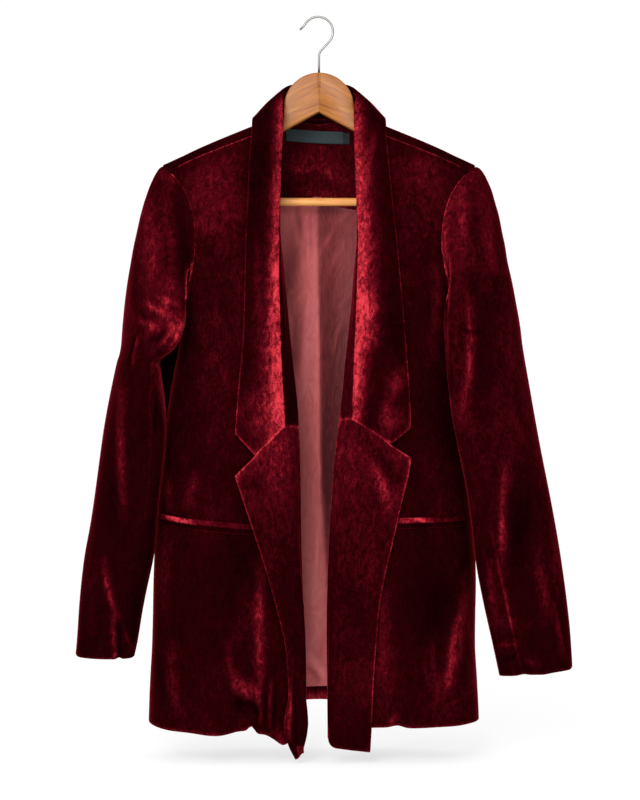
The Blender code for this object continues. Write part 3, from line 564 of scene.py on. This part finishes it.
VELVET = velvet_finish()
back = cloth_shell("back", "back_panel", VELVET_WALL, 2)
points = points_of(back)
x, y, z = points.T
height, shine = pressed(x, z, BACK_CREASES)
at_rear = rising(y, *REAR_Y)
y += height * at_rear
at_tip = rising(np.abs(x), *TIP_X) * rising(z, *TIP_Z)
x += np.sign(x) * TIP_REACH * at_tip
at_neck = hump(np.abs(x), BACK_NECK_X, NECK_SPREAD) * rising(y, *BACK_NECK_Y) * rising(z, *BACK_NECK_Z)
x -= np.sign(x) * BACK_NECK_CLOSING[0] * at_neck
y -= BACK_NECK_CLOSING[1] * at_neck
on_edge = rim_of(back) ** 2 * rising(z, *NECK_LIFT_Z) * (np.abs(x) < NECK_LIFT_X)
x -= np.sign(x) * NECK_LIFT[0] * on_edge * (y < NECK_LIFT_Y)
z += NECK_LIFT[1] * on_edge
set_points(back, points)
# Painted highlights and shade from the creases, brushed patches with painted light among them, painted
# shade on the forward strip, and a painted highlight inside the hem.
nap_and_light = BACK_NAP + (shine + brushing_and_painted_light(x, z, BACK_PATCHES)) * at_rear
nap_and_light = np.where(y < BACK_STRIP_Y, nap_and_light + BACK_STRIP_SHADE, nap_and_light)
inside = facing_of(back)[:, 1] < 0
nap_and_light = nap_and_light + BACK_HEM_SHINE * hump(z, BACK_HEM_Z, BACK_HEM_SPREAD) * inside
paint_nap_and_light(back, nap_and_light, BACK_RIM_HIGHLIGHT)

# The inside of the back: a velvet neck facing, a satin lining with a centre pleat that hangs in
# soft vertical folds, and a blank woven label with a blank size tab sewn to the facing.
# The satin's colour from its deepest painted shade to its lit tone, chosen by the stored shade level.
SATIN_TONES = [
    (0.0, (0.10, 0.018, 0.020)),
    (0.35, (0.26, 0.046, 0.049)),
    (0.7, (0.56, 0.115, 0.118)),
    (1.0, (0.72, 0.19, 0.19)),
]
LABEL_TONES = {
    "neck_label": [(0.35, (0.018, 0.027, 0.030)), (0.65, (0.030, 0.042, 0.046))],
    "size_tab": [(0.35, (0.008, 0.012, 0.014)), (0.65, (0.014, 0.020, 0.022))],
}
# The lining's folds; their shine is a painted highlight on a ridge and painted shade where negative.
LINING_CREASES = [
    Crease(0, -230, 2, -800, 0, 16, 5.0, 0),
    Crease(-11, -221, -9, -300, 0, 1.8, -1.2, -0.16),
    Crease(-5, -221, -4, -275, 0, 1.5, -0.8, -0.1),
    Crease(36, -228, -2, -286, 2, 2.2, 1.2, 0.14),
    Crease(22, -221, 0, -300, -3, 2.4, 1.2, 0.1),
    Crease(34, -262, 4, -330, 3, 3.0, 1.0, 0.08),
    Crease(30, -330, 12, -420, -3, 3.0, 1.0, 0.07),
    Crease(22, -400, 8, -500, 2, 3.0, -1.0, -0.07),
    Crease(-28, -221, -22, -262, 0, 3.0, -1.5, -0.2),
    Crease(-14, -330, -16, -470, 2, 2.0, 1.0, 0.12),
    Crease(-20, -380, -4, -398, 2, 2.0, 0.8, 0.1),
    Crease(-18, -470, -6, -455, -1, 1.8, 0.8, -0.1),
    Crease(-16, -540, -2, -560, 1, 2.0, 0.8, -0.1),
    Crease(-10, -500, 4, -560, -2, 2.0, 1.0, 0.1),
    Crease(2, -600, -6, -720, 2, 2.4, 1.2, 0.12),
    Crease(-17, -655, 0, -640, 1, 2.0, 0.8, -0.12),
    Crease(-18, -765, 10, -800, -4, 4.0, 3.0, 0.2),
    Crease(-18, -782, 2, -806, -3, 3.5, -2.5, -0.28),
    Crease(10, -740, 2, -790, 3, 3.0, -1.5, -0.15),
]
# Painted shadows under the bar and beside the collar's edge, and a painted highlight low in the middle.
LINING_PAINTED_SHADOWS_AND_LIGHT = [
    Patch(0, -222, 70, 9, 0, -0.3),
    Patch(-36, -300, 12, 60, -8, -0.42),
    Patch(-28, -390, 8, 60, -4, -0.35),
    Patch(-6, -700, 16, 110, 0, 0.1),
]
LINING_WALL = 0.001
LINING_LIGHT = 0.76
LINING_TUCK = (3.0, 2.0)
LINING_TUCK_Z = (-234, -219)
SATIN_ROUGHNESS = 0.5
SATIN_SPECULAR = 0.08
WEAVE_STRETCH = (2600, 2600, 700)
CLOUD_STRETCH = (1, 1, 0.3)
CRINKLE_STRETCH = (1, 1, 0.4)
CRINKLE_TURN = (0, 0.35, 0)
WEAVE_SWING = 0.12
CLOUD_SWING = 0.3
CRINKLE_SHADE_SWING = 0.42
WEAVE_RELIEF = 0.06
SATIN_BUMP = (0.35, 0.005)
LABEL_WALL = 0.001
LABEL_ROUGHNESS = 0.7
LABEL_SPECULAR = 0.2
LABEL_STRETCH = (2400, 2400, 900)
LABEL_BUMP = (0.2, 0.0004)
FACING_NAP = 0.34
FACING_DROP = 4.0
FACING_DROP_Z = (-196, -216)

# Down the lining, where its lit half turns away, and how much darker the painted shade makes the far
# half.
LINING_TURN_Z = (-820, -700, -560, -400, -300, -220)
LINING_TURN_X = (16, 11, 3, 1, -1, -2)
LINING_TURN_DROP = (0.45, 0.55, 0.74, 0.72, 0.58, 0.42)
LINING_TURN_WIDTH = (-2.5, 2.5)
FACING_PATCHES = [
    Patch(-20, -170, 30, 16, 20, 0.18),
    Patch(18, -180, 20, 12, -15, 0.15),
    Patch(0, -205, 40, 10, 0, 0.12),
]

facing = cloth_shell("back_neck_facing", "neck_facing", VELVET_WALL, 3)
points = points_of(facing)
x, y, z = points.T
z -= FACING_DROP * rising(z, *FACING_DROP_Z)
set_points(facing, points)
# Brushed patches on the facing, and the default painted highlight along its rim.
paint_nap_and_light(facing, FACING_NAP + brushing_and_painted_light(x, z, FACING_PATCHES))

satin, nodes, links, shader = new_finish("lining_satin", SATIN_TONES[2][1], SATIN_ROUGHNESS)
shader.inputs["Specular IOR Level"].default_value = SATIN_SPECULAR
place = object_place(nodes)
weave = add_noise(nodes, links, add_stretch(nodes, links, place, WEAVE_STRETCH), 1.0, detail=2.0)
cloudy = add_noise(nodes, links, add_stretch(nodes, links, place, CLOUD_STRETCH), 22.0, detail=3.0)
crumpled = add_stretch(nodes, links, place, CRINKLE_STRETCH, CRINKLE_TURN)
crinkles = add_noise(nodes, links, crumpled, 70.0, detail=4.0, roughness=0.55, distortion=2.0)
shade = nodes.new("ShaderNodeAttribute")
shade.attribute_name = "shade"
tone = shade.outputs["Fac"]
# The crinkles shade the tone as well as bump the surface: painted shading of the fine wrinkles.
for texture, amount in ((weave, WEAVE_SWING), (cloudy, CLOUD_SWING), (crinkles, CRINKLE_SHADE_SWING)):
    tone = add_maths(nodes, links, "ADD", tone, add_swing(nodes, links, texture, amount))
links.new(add_ramp(nodes, links, tone, SATIN_TONES), shader.inputs["Base Color"])
threads = add_maths(nodes, links, "MULTIPLY", weave, WEAVE_RELIEF)
add_bump(nodes, links, shader, add_maths(nodes, links, "ADD", threads, crinkles), *SATIN_BUMP)

lining = cloth_shell("back_lining", "lining", LINING_WALL, 3)
points = points_of(lining)
x, y, z = points.T
height, shine = pressed(x, z, LINING_CREASES)
y -= height
tucked = rim_of(lining) ** 2 * rising(z, *LINING_TUCK_Z)
y += LINING_TUCK[0] * tucked
z += LINING_TUCK[1] * tucked
set_points(lining, points)
# Painted shade on the far half, and painted light from the folds and the patches, stored as the satin's
# shade level.
turned = rising(x - np.interp(z, LINING_TURN_Z, LINING_TURN_X), *LINING_TURN_WIDTH)
lit = LINING_LIGHT + shine - turned * np.interp(z, LINING_TURN_Z, LINING_TURN_DROP)
store_level(lining, "shade", lit + brushing_and_painted_light(x, z, LINING_PAINTED_SHADOWS_AND_LIGHT))
coat(lining, satin)

for node, tones in LABEL_TONES.items():
    woven, nodes, links, shader = new_finish(f"{node}_weave", tones[0][1], LABEL_ROUGHNESS)
    shader.inputs["Specular IOR Level"].default_value = LABEL_SPECULAR
    threads = add_stretch(nodes, links, object_place(nodes), LABEL_STRETCH)
    threads = add_noise(nodes, links, threads, 1.0, detail=2.0)
    links.new(add_ramp(nodes, links, threads, tones), shader.inputs["Base Color"])
    add_bump(nodes, links, shader, threads, *LABEL_BUMP)
    tag = cloth_shell(node, f"{node}_blank", LABEL_WALL, 2)
    coat(tag, woven)

# The fronts: two velvet panels from the forward shoulder seam to the hem, with a jetted pocket in
# each. The pile lies dark on the flat; where drag lines and drape folds stand out it carries painted
# highlights, with painted shade in their valleys.
FRONT_CREASES = {
    "right": [
        Crease(-67, -640, -66, -810, 4, 7, 4.0, 0.40),
        Crease(-86, -665, -98, -755, -4, 10, 2.0, 0.14),
        Crease(-106, -736, -96, -806, 2, 5, 4.0, 0.26),
        Crease(-98, -772, -72, -818, 5, 8, 4.0, 0.22),
        Crease(-100, -812, -68, -830, 3, 8, -7.0, -0.34),
        Crease(-98, -820, -78, -838, -5, 3, 4.0, 0.26),
        Crease(-70, -792, -71, -826, 1, 2.5, 2.5, 0.28),
        Crease(-66, -808, -68, -846, 1, 2.5, 3.0, 0.3),
        Crease(-173, -740, -164, -832, 4, 7, 3.0, 0.22),
        Crease(-189, -760, -181, -815, 3, 4, -2.5, -0.1),
        Crease(-180, -600, -184, -720, 3, 9, 2.0, 0.18),
        Crease(-160, -592, -146, -535, 3, 7, 3.0, 0.25),
        Crease(-181, -535, -176, -592, 2, 5, 3.0, 0.2),
        Crease(-55, -780, -58, -850, 1, 2.5, 3.0, 0.28),
        Crease(-61, -770, -63, -850, 1, 3.5, -3.0, -0.22),
        Crease(-50, -790, -52, -850, 1, 2.5, -2.5, -0.2),
        Crease(-128, -330, -136, -470, -5, 14, 1.5, 0.08),
    ],
    "left": [
        Crease(140, -290, 131, -425, -4, 8, 2.5, 0.2),
        Crease(178, -650, 146, -805, -6, 10, 4.5, 0.32),
        Crease(168, -700, 152, -806, 3, 5, 3.0, 0.25),
        Crease(132, -728, 142, -815, 2, 4, 2.5, 0.2),
        Crease(124, -742, 133, -806, 2, 4, 2.0, 0.14),
        Crease(75, -670, 78, -806, 2, 9, 3.0, 0.2),
        Crease(184, -680, 180, -815, -2, 6, 2.5, 0.25),
        Crease(80, -838, 92, -828, 2, 4, 2.5, 0.3),
    ],
}
FRONT_PATCHES = {
    "right": [
        Patch(-120, -225, 42, 50, 0, 0.2),
        Patch(-128, -188, 40, 20, 20, 0.1),
        Patch(-133, -250, 16, 14, 0, 0.1),
        Patch(-115, -400, 30, 90, 0, 0.06),
        Patch(-130, -700, 50, 70, 0, -0.08),
        Patch(-92, -640, 24, 60, 0, -0.1),
        Patch(-81, -798, 9, 13, 20, 0.2),
        Patch(-46, -848, 8, 8, 0, 0.34),
    ],
    "left": [
        Patch(125, -225, 42, 60, 0, 0.1),
        Patch(126, -184, 40, 20, -20, 0.1),
        Patch(112, -490, 22, 90, 0, -0.07),
        Patch(130, -690, 40, 60, 0, -0.16),
        Patch(135, -820, 60, 22, 0, 0.05),
        Patch(165, -640, 14, 60, 0, 0.06),
    ],
}
# The fronts' base pile level, and the painted highlight along their rims.
FRONT_NAP = 0.2
FRONT_RIM_HIGHLIGHT = 0.3

# Along the hem: where it is lifted, how wide the lift is, and how far up it goes.
HEM_LIFTS = {
    "right": [(-79, 5, 8), (-88, 19, 6), (-64, 9, 4), (-42, 9, -8)],
    "left": [(92, 8, 3)],
}
HEM_Z = -850
HEM_REACH = 34
JET_WALL = 0.0015
JET_UNDERSIDE = (0.0, -0.5)
# The upper lip is painted lighter and the lower lip painted as shade beneath it; a painted highlight
# runs along the underside of each lip.
JET_PAINTED_SHADING = {"upper": 0.36, "lower": 0.08}
JET_UNDERSIDE_HIGHLIGHT = {"upper": 0.1, "lower": 0.55}
JET_CREASES = {
    "right": [
        Crease(-192, -592, -145, -602, 1, 2.5, 1.2, 0.3),
        Crease(-186, -599, -150, -606, 1, 1.6, -1.0, -0.3),
        Crease(-176, -600, -120, -610, 1, 2.2, 0.8, 0.35),
        Crease(-150, -604, -90, -612, 1, 1.4, -0.8, -0.25),
    ],
    "left": [
        Crease(90, -592, 128, -599, 1, 2.5, 1.0, 0.35),
        Crease(96, -598, 118, -594, 1, 1.5, -1.0, -0.3),
        Crease(108, -594, 134, -603, 1, 2.2, 0.8, 0.3),
        Crease(130, -596, 172, -594, 1, 1.5, -0.8, -0.25),
    ],
}
JET_PATCHES = {"right": [Patch(-170, -600, 22, 9, 0, 0.3)], "left": [Patch(108, -597, 20, 8, 0, 0.3)]}
NECK_CLOSING = (4.5, 4.0)
NECK_CLOSING_Z = (-300, -240)

# The shoulder seam starts at the neck and slopes down to the armhole. The neck edge slopes inwards.
SHOULDER_NECK_X = 66
SHOULDER_NECK_Z = -140
NECK_SLOPE = 0.175
SHOULDER_SLOPE = 0.42
SHOULDER_X = (60, 169)
SHOULDER_DEPTH = 10
# A painted highlight along the shoulder seam; the front's edge at the armhole, behind the sleeve, gets
# painted shade.
SHOULDER_SEAM_HIGHLIGHT = 0.55
SHOULDER_RAISE = (2.0, 1.5)
ARMHOLE_X = 143
ARMHOLE_Z = -345
ARMHOLE_PAINTED_SHADE = -0.1

for side in ("right", "left"):
    front = cloth_shell(f"front_{side}", f"front_panel_{side}", VELVET_WALL, 3)
    points = points_of(front)
    x, y, z = points.T
    height, shine = pressed(x, z, FRONT_CREASES[side])
    shine = shine + brushing_and_painted_light(x, z, FRONT_PATCHES[side])
    y -= height
    near_hem = hump(np.minimum(HEM_Z - z, 0), 0, HEM_REACH)
    for hem_x, hem_width, lift in HEM_LIFTS[side]:
        z += lift * near_hem * hump(x, hem_x, hem_width)
    neck_edge = SHOULDER_NECK_X + NECK_SLOPE * (z - SHOULDER_NECK_Z)
    near_neck = hump(np.abs(x), neck_edge, NECK_SPREAD) * rising(z, *NECK_CLOSING_Z)
    x -= np.sign(x) * NECK_CLOSING[0] * near_neck
    y -= NECK_CLOSING[1] * near_neck
    out = np.abs(x)
    under_seam = SHOULDER_NECK_Z - SHOULDER_DEPTH - SHOULDER_SLOPE * (out - SHOULDER_NECK_X)
    at_shoulder = (out > SHOULDER_X[0]) & (out < SHOULDER_X[1]) & (z > under_seam)
    at_armhole = ~at_shoulder & (out > ARMHOLE_X) & (z > ARMHOLE_Z)
    # Painted light along the front's rim: shade at the armhole, and a highlight along the shoulder seam
    # and elsewhere.
    painted_rim_light_and_shade = np.where(at_armhole, ARMHOLE_PAINTED_SHADE, np.where(at_shoulder, SHOULDER_SEAM_HIGHLIGHT, FRONT_RIM_HIGHLIGHT))
    raised = rim_of(front) ** 3 * at_shoulder
    y -= SHOULDER_RAISE[0] * raised
    z += SHOULDER_RAISE[1] * raised
    set_points(front, points)
    paint_nap_and_light(front, FRONT_NAP + shine, painted_rim_light_and_shade)
    for level in ("upper", "lower"):
        jet = cloth_shell(f"pocket_jet_{level}_{side}", f"jet_{level}_{side}", JET_WALL, 3)
        points = points_of(jet)
        x, y, z = points.T
        puckers, shine = pressed(x, z, JET_CREASES[side])
        y -= pressed(x, z, FRONT_CREASES[side])[0] + puckers
        set_points(jet, points)
        shine = shine + brushing_and_painted_light(x, z, JET_PATCHES[side])
        underside = rising(facing_of(jet)[:, 2], *JET_UNDERSIDE)
        # Painted highlights from the upper lip's creases and patches, and a painted highlight along the
        # underside.
        paint_nap_and_light(jet, JET_PAINTED_SHADING[level] + shine * (level == "upper"), JET_UNDERSIDE_HIGHLIGHT[level] * underside)

# The sleeves: each is cut in an upper and an under half and set into the armhole with a little
# fullness. They hang bent at the elbow, with long ridges along the arm and crumples near the cuff.
SLEEVE_CREASES = {
    "right": [
        Crease(-172, -195, -158, -330, -6, 7, -2.5, -0.16),
        Crease(-186, -205, -176, -330, -6, 5, 1.5, 0.14),
        Crease(-208, -215, -200, -330, -8, 10, 2.5, 0.2),
        Crease(-176, -300, -168, -392, 4, 10, 3.0, 0.2),
        Crease(-231, -430, -229, -610, 3, 6, 3.5, 0.38),
        Crease(-254, -640, -234, -724, 4, 5, 3.5, 0.42),
        Crease(-242, -708, -240, -772, 1, 4, 3.0, 0.36),
        Crease(-236, -712, -235, -768, 0, 2.5, -2.5, -0.25),
        Crease(-231, -722, -222, -752, 1, 2.5, 2.0, 0.26),
        Crease(-230, -764, -218, -742, 1, 2.5, 1.5, 0.22),
        Crease(-195, -400, -177, -500, 0, 5, 1.5, 0.32),
        Crease(-190, -450, -192, -500, 0, 2, -1.5, -0.25),
        Crease(-212, -380, -220, -424, 2, 2.5, 1.5, 0.24),
        Crease(-216, -378, -224, -424, 2, 2.5, -2.0, -0.2),
        Crease(-156, -350, -186, -414, -6, 4, 1.5, 0.4),
        Crease(-208, -340, -178, -358, 2, 4, 2.0, 0.26),
        Crease(-218, -362, -184, -380, -2, 4, 2.0, 0.26),
        Crease(-204, -390, -172, -374, 2, 4, -2.0, -0.2),
        Crease(-194, -334, -164, -348, 1, 3, 2.0, 0.22),
        Crease(-214, -348, -196, -374, 1, 3, -2.0, -0.18),
        Crease(-188, -398, -168, -368, 1, 3, 2.0, 0.3),
        Crease(-176, -330, -168, -366, 0, 4, -1.5, -0.22),
        Crease(-262, -600, -270, -740, 2, 8, 2.0, 0.15),
    ],
    "left": [
        Crease(172, -195, 180, -310, 4, 8, 2.5, 0.2),
        Crease(198, -200, 207, -310, 4, 8, 2.5, 0.2),
        Crease(152, -225, 147, -330, 2, 6, 2.0, 0.25),
        Crease(146, -315, 162, -319, 1, 3, -2.0, -0.2),
        Crease(175, -330, 165, -490, -7, 6, 3.5, 0.4),
        Crease(165, -376, 192, -380, 1, 3, -2.5, -0.25),
        Crease(220, -525, 215, -668, 2, 6, 4.0, 0.42),
        Crease(268, -540, 283, -702, -3, 5, 3.0, 0.3),
        Crease(258, -630, 275, -732, 2, 7, 2.5, 0.22),
        Crease(208, -747, 238, -741, 1, 4, 2.5, 0.25),
        Crease(199, -600, 238, -780, 0, 1.8, 1.2, 0.32),
        Crease(240, -764, 262, -768, 1, 4, 2.0, 0.2),
        Crease(276, -690, 292, -770, 2, 3.5, 2.0, 0.26),
        Crease(212, -764, 232, -758, 1, 3, -1.5, -0.16),
        Crease(200, -640, 208, -720, 2, 5, 2.0, 0.25),
    ],
}
SLEEVE_PATCHES = {
    "right": [
        Patch(-188, -366, 32, 34, 20, 0.2),
        Patch(-168, -372, 12, 24, -20, 0.14),
        Patch(-212, -270, 18, 60, 10, 0.1),
        Patch(-178, -190, 16, 16, 20, 0.14),
    ],
    "left": [
        Patch(160, -250, 12, 60, 4, 0.12),
        Patch(190, -430, 20, 80, 0, -0.1),
        Patch(240, -600, 16, 90, -6, -0.14),
        Patch(225, -720, 40, 10, 0, 0.1),
        Patch(178, -190, 18, 18, -20, 0.16),
    ],
}
HIDDEN_SLEEVE_CREASES = [
    Crease(215, -360, 240, -540, 8, 9, 3.0, 0.25),
    Crease(195, -420, 210, -520, 4, 7, -2.5, -0.1),
    Crease(245, -560, 262, -720, 4, 8, 3.0, 0.2),
    Crease(220, -600, 246, -690, -4, 7, 2.5, 0.16),
]
SLEEVE_NAP = {"right": (0.12, 0.12, 0.28), "left": (0.14, 0.28, 0.28)}
SLEEVE_NAP_Z = (-780, -480, -220)
# Painted highlights along the sleeves' rims, cap seams and cuffs, and a painted sheen where a sleeve
# faces sideways.
SLEEVE_RIM_HIGHLIGHT = 0.08
PAINTED_SIDE_SHEEN = 0.18
PAINTED_SHEEN_FACING = (0.88, 0.98)
AXIS_STEP = 30
AHEAD_DEPTH = (15, -15)
CAP_OVERLAP = (1.5, 2.5)
CAP_SEAM_Z = (-360, -340)
CAP_SEAM_HIGHLIGHT = 0.45

# Along the cuff's edge: where it is lifted, how wide and how far, and its corners with their way out.
CUFF_LIFTS = {"right": [(-236, 3, 2.5)], "left": [(240, 6, 1.5), (264, 9, -1.0)]}
CUFF_CORNERS = {"right": [(-292, -1), (-217, 1)], "left": [(303, 1)]}
CUFF_ROUND = 7.0
CUFF_Z = -755
CUFF_REACH = 12
CUFF_RIM_HIGHLIGHT = 0.3


def corner_lift(aside, radius):
    """How far a rounded corner rises, from 0 where it starts to its radius at its end."""
    return radius * (1 - np.sqrt(1 - aside**2))


for side, sign in (("right", -1), ("left", 1)):
    halves = [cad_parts[f"{half}_sleeve_{side}"] for half in ("upper", "under")]
    both = np.concatenate([points_of(half) for half in halves])
    slab = np.round(both[:, 2] / AXIS_STEP)
    levels = np.unique(slab)
    axis_z = levels * AXIS_STEP
    slabs = [both[slab == level] for level in levels]
    axis_x, axis_y, _ = np.array([(part.min(axis=0) + part.max(axis=0)) / 2 for part in slabs]).T
    for half in ("upper", "under"):
        sleeve = cloth_shell(f"{half}_sleeve_{side}", f"{half}_sleeve_shell_{side}", VELVET_WALL, 3)
        points = points_of(sleeve)
        x, y, z = points.T
        across = x - np.interp(z, axis_z, axis_x)
        deep = y - np.interp(z, axis_z, axis_y)
        reach = np.maximum(np.hypot(across, deep), 1.0)
        ahead = rising(deep, *AHEAD_DEPTH)
        height, shine = pressed(x, z, SLEEVE_CREASES[side])
        hidden_height, hidden_shine = pressed(x * sign, z, HIDDEN_SLEEVE_CREASES)
        height = height * ahead + hidden_height * (1 - ahead)
        shine = shine * ahead + hidden_shine * (1 - ahead)
        x += height * across / reach
        y += height * deep / reach
        on_seam = rim_of(sleeve) ** 3 * rising(z, *CAP_SEAM_Z) * ahead
        x -= sign * CAP_OVERLAP[0] * on_seam
        y -= CAP_OVERLAP[1] * on_seam
        near_cuff = rising(z, CUFF_Z, CUFF_Z - CUFF_REACH)
        for cuff_x, cuff_width, lift in CUFF_LIFTS[side]:
            z += lift * near_cuff * hump(x, cuff_x, cuff_width)
        for corner_x, way in CUFF_CORNERS[side]:
            z += corner_lift(rising((x - corner_x) * way, -CUFF_ROUND, 0), CUFF_ROUND) * near_cuff
        set_points(sleeve, points)
        # Painted highlights and shade from the creases and patches, a painted sheen on the sides, and
        # painted highlights along the rims; the base level is darker towards the cuff.
        shine = shine + brushing_and_painted_light(x, z, SLEEVE_PATCHES[side]) * ahead
        nap_and_light = np.interp(z, SLEEVE_NAP_Z, SLEEVE_NAP[side]) + shine
        nap_and_light = nap_and_light + PAINTED_SIDE_SHEEN * rising(np.abs(facing_of(sleeve)[:, 0]), *PAINTED_SHEEN_FACING)
        lower_rim_highlight = np.where(z < CUFF_Z, CUFF_RIM_HIGHLIGHT, SLEEVE_RIM_HIGHLIGHT)
        paint_nap_and_light(sleeve, nap_and_light, np.where(z > CAP_SEAM_Z[1], CAP_SEAM_HIGHLIGHT, lower_rim_highlight))

# The collar: one velvet leaf with its stand, folded over on the roll line from the gorge up round
# the back of the neck. The pile along the roll is crushed bright and carries a painted highlight, the
# outer half lies dark, and the stand behind the roll carries painted shading.
COLLAR_PATCHES = [
    Patch(-72, -320, 4, 60, 2, 0.16),
    Patch(-80, -470, 26, 24, 10, 0.14),
    Patch(63, -160, 5, 40, -10, 0.2),
    Patch(66, -385, 12, 14, 30, 0.25),
    Patch(60, -350, 14, 20, 20, 0.2),
    Patch(90, -440, 10, 22, -20, 0.28),
    Patch(82, -485, 16, 20, -35, 0.32),
]
COLLAR_CREASES = [
    Crease(63, -365, 85, -385, 3, 4, 2.0, 0.1),
    Crease(60, -378, 84, -398, -3, 4, -2.0, -0.1),
    Crease(-75, -300, -72, -440, 3, 7, 1.5, 0.05),
    Crease(84, -455, 78, -492, 3, 6, 2.0, 0.15),
]
# A painted highlight along the collar's rim; the stand behind the roll is painted as shade, darker on
# the right than on the left.
COLLAR_NAP = 0.13
COLLAR_RIM_HIGHLIGHT = 0.42
COLLAR_AHEAD_Y = (0, -30)
ROLL_AHEAD_Y = (0, -15)
ROLL_EDGE = 2
STAND_PAINTED_SHADING = {"right": 0.14, "left": 0.34}

# How far the crushed pile and its painted highlight reach from the roll line, and how bright they are,
# down each side.
Roll = namedtuple("Roll", "z out reach shine")
ROLLS = {
    "right": [
        Roll(-488, 39.5, 28, 0.62),
        Roll(-440, 42.0, 24, 0.8),
        Roll(-384, 45.0, 19, 0.8),
        Roll(-310, 47.0, 13, 0.7),
        Roll(-232, 46.0, 11, 0.6),
        Roll(-140, 43.0, 10, 0.5),
    ],
    "left": [
        Roll(-480, 38.7, 12, 0.6),
        Roll(-420, 41.0, 13, 0.72),
        Roll(-347, 44.0, 20, 0.7),
        Roll(-270, 46.0, 20, 0.66),
        Roll(-198, 43.0, 17, 0.62),
        Roll(-140, 41.5, 13, 0.52),
    ],
}

collar = cloth_shell("collar", "collar_leaf", VELVET_WALL, 3)
points = points_of(collar)
x, y, z = points.T
ahead = rising(y, *COLLAR_AHEAD_Y)
height, shine = pressed(x, z, COLLAR_CREASES)
y -= height * ahead
set_points(collar, points)
shine = shine + brushing_and_painted_light(x, z, COLLAR_PATCHES)
nap_and_light = COLLAR_NAP + shine * ahead
# Along each roll, a band of crushed pile with a painted highlight; on the stand behind it, painted
# shading takes the place of the pile level.
for side, sign in (("right", -1), ("left", 1)):
    roll_z, roll_out, roll_reach, roll_shine = np.array(ROLLS[side], float).T
    from_roll = x * sign - np.interp(z, roll_z, roll_out)
    fade = hump(np.maximum(from_roll - ROLL_EDGE, 0), 0, np.interp(z, roll_z, roll_reach))
    roll_crush_and_highlight = np.interp(z, roll_z, roll_shine) * fade * rising(y, *ROLL_AHEAD_Y)
    one_side = x * sign > 0
    on_leaf = one_side & (from_roll > 0)
    on_stand = one_side & (from_roll <= 0) & (y < 0)
    nap_and_light = np.where(on_leaf, nap_and_light + roll_crush_and_highlight, np.where(on_stand, STAND_PAINTED_SHADING[side], nap_and_light))
paint_nap_and_light(collar, nap_and_light, COLLAR_RIM_HIGHLIGHT)

# The lapels: each is the turned-out top of a front facing that runs on to the hem in a narrow
# strip. They join the collar at the gorge, and their pile is a shade lighter and streaked downwards.
LAPEL_CREASES = {
    "right": [
        Crease(-90, -556, -60, -556, 3, 6, -1.5, -0.14),
        Crease(-55, -600, -40, -760, 3, 8, 1.5, 0.1),
        Crease(-34, -780, -32, -862, 0, 2.5, 1.5, 0.4),
        Crease(-29, -780, -28, -866, 0, 2.5, -1.0, -0.16),
        Crease(-37, -815, -33, -866, 0, 3, 1.0, 0.2),
    ],
    "left": [
        Crease(50, -500, 100, -562, 3, 9, -3.0, -0.22),
        Crease(55, -510, 86, -596, -3, 8, 3.0, 0.3),
        Crease(50, -680, 66, -640, 2, 6, 1.5, 0.16),
        Crease(22, -560, 20, -780, 2, 8, 1.0, 0.06),
    ],
}
LAPEL_PATCHES = {
    "right": [Patch(-45, -560, 30, 60, 20, 0.06), Patch(-40, -700, 20, 100, 4, -0.06)],
    "left": [Patch(40, -620, 30, 90, 0, 0.05), Patch(48, -780, 30, 50, 0, 0.05)],
}
# A painted highlight along the lapels' rims; the base level is lighter towards the top.
LAPEL_RIM_HIGHLIGHT = 0.38
LAPEL_NAP = (0.14, 0.27, 0.44)
LAPEL_NAP_Z = (-860, -620, -520)
GORGES = {
    "right": Crease(-18, -484, -77, -524, 0, 7, 3.0, 0),
    "left": Crease(16, -478, 86, -509, 0, 7, 3.0, 0),
}
GORGE_WAY = {"right": (-0.56, 0.5, 0.83), "left": (0.4, 0.5, 0.91)}
TAIL_X = -27.0
TAIL_Z = (-810, -840)
TAIL_WIDENING = 0.35
CORNER_X = 20.0
CORNER_Z = (-840, -860)
CORNER_ROUND = 9.5

for side in ("right", "left"):
    lapel = cloth_shell(f"lapel_{side}", f"lapel_leaf_{side}", VELVET_WALL, 3)
    points = points_of(lapel)
    x, y, z = points.T
    height, shine = pressed(x, z, LAPEL_CREASES[side])
    y -= height
    tuck = pressed(x, z, [GORGES[side]])[0]
    points += tuck[:, None] * np.array(GORGE_WAY[side])
    shine = shine + brushing_and_painted_light(x, z, LAPEL_PATCHES[side])
    # Painted highlights and shade from the creases, and brushed patches.
    nap_and_light = np.interp(z, LAPEL_NAP_Z, LAPEL_NAP) + shine
    if side == "right":
        x += (x - TAIL_X) * TAIL_WIDENING * rising(z, *TAIL_Z)
    else:
        aside = rising(x, CORNER_X, CORNER_X - CORNER_ROUND)
        z += corner_lift(aside, CORNER_ROUND) * rising(z, *CORNER_Z)
    set_points(lapel, points)
    paint_nap_and_light(lapel, nap_and_light, LAPEL_RIM_HIGHLIGHT)
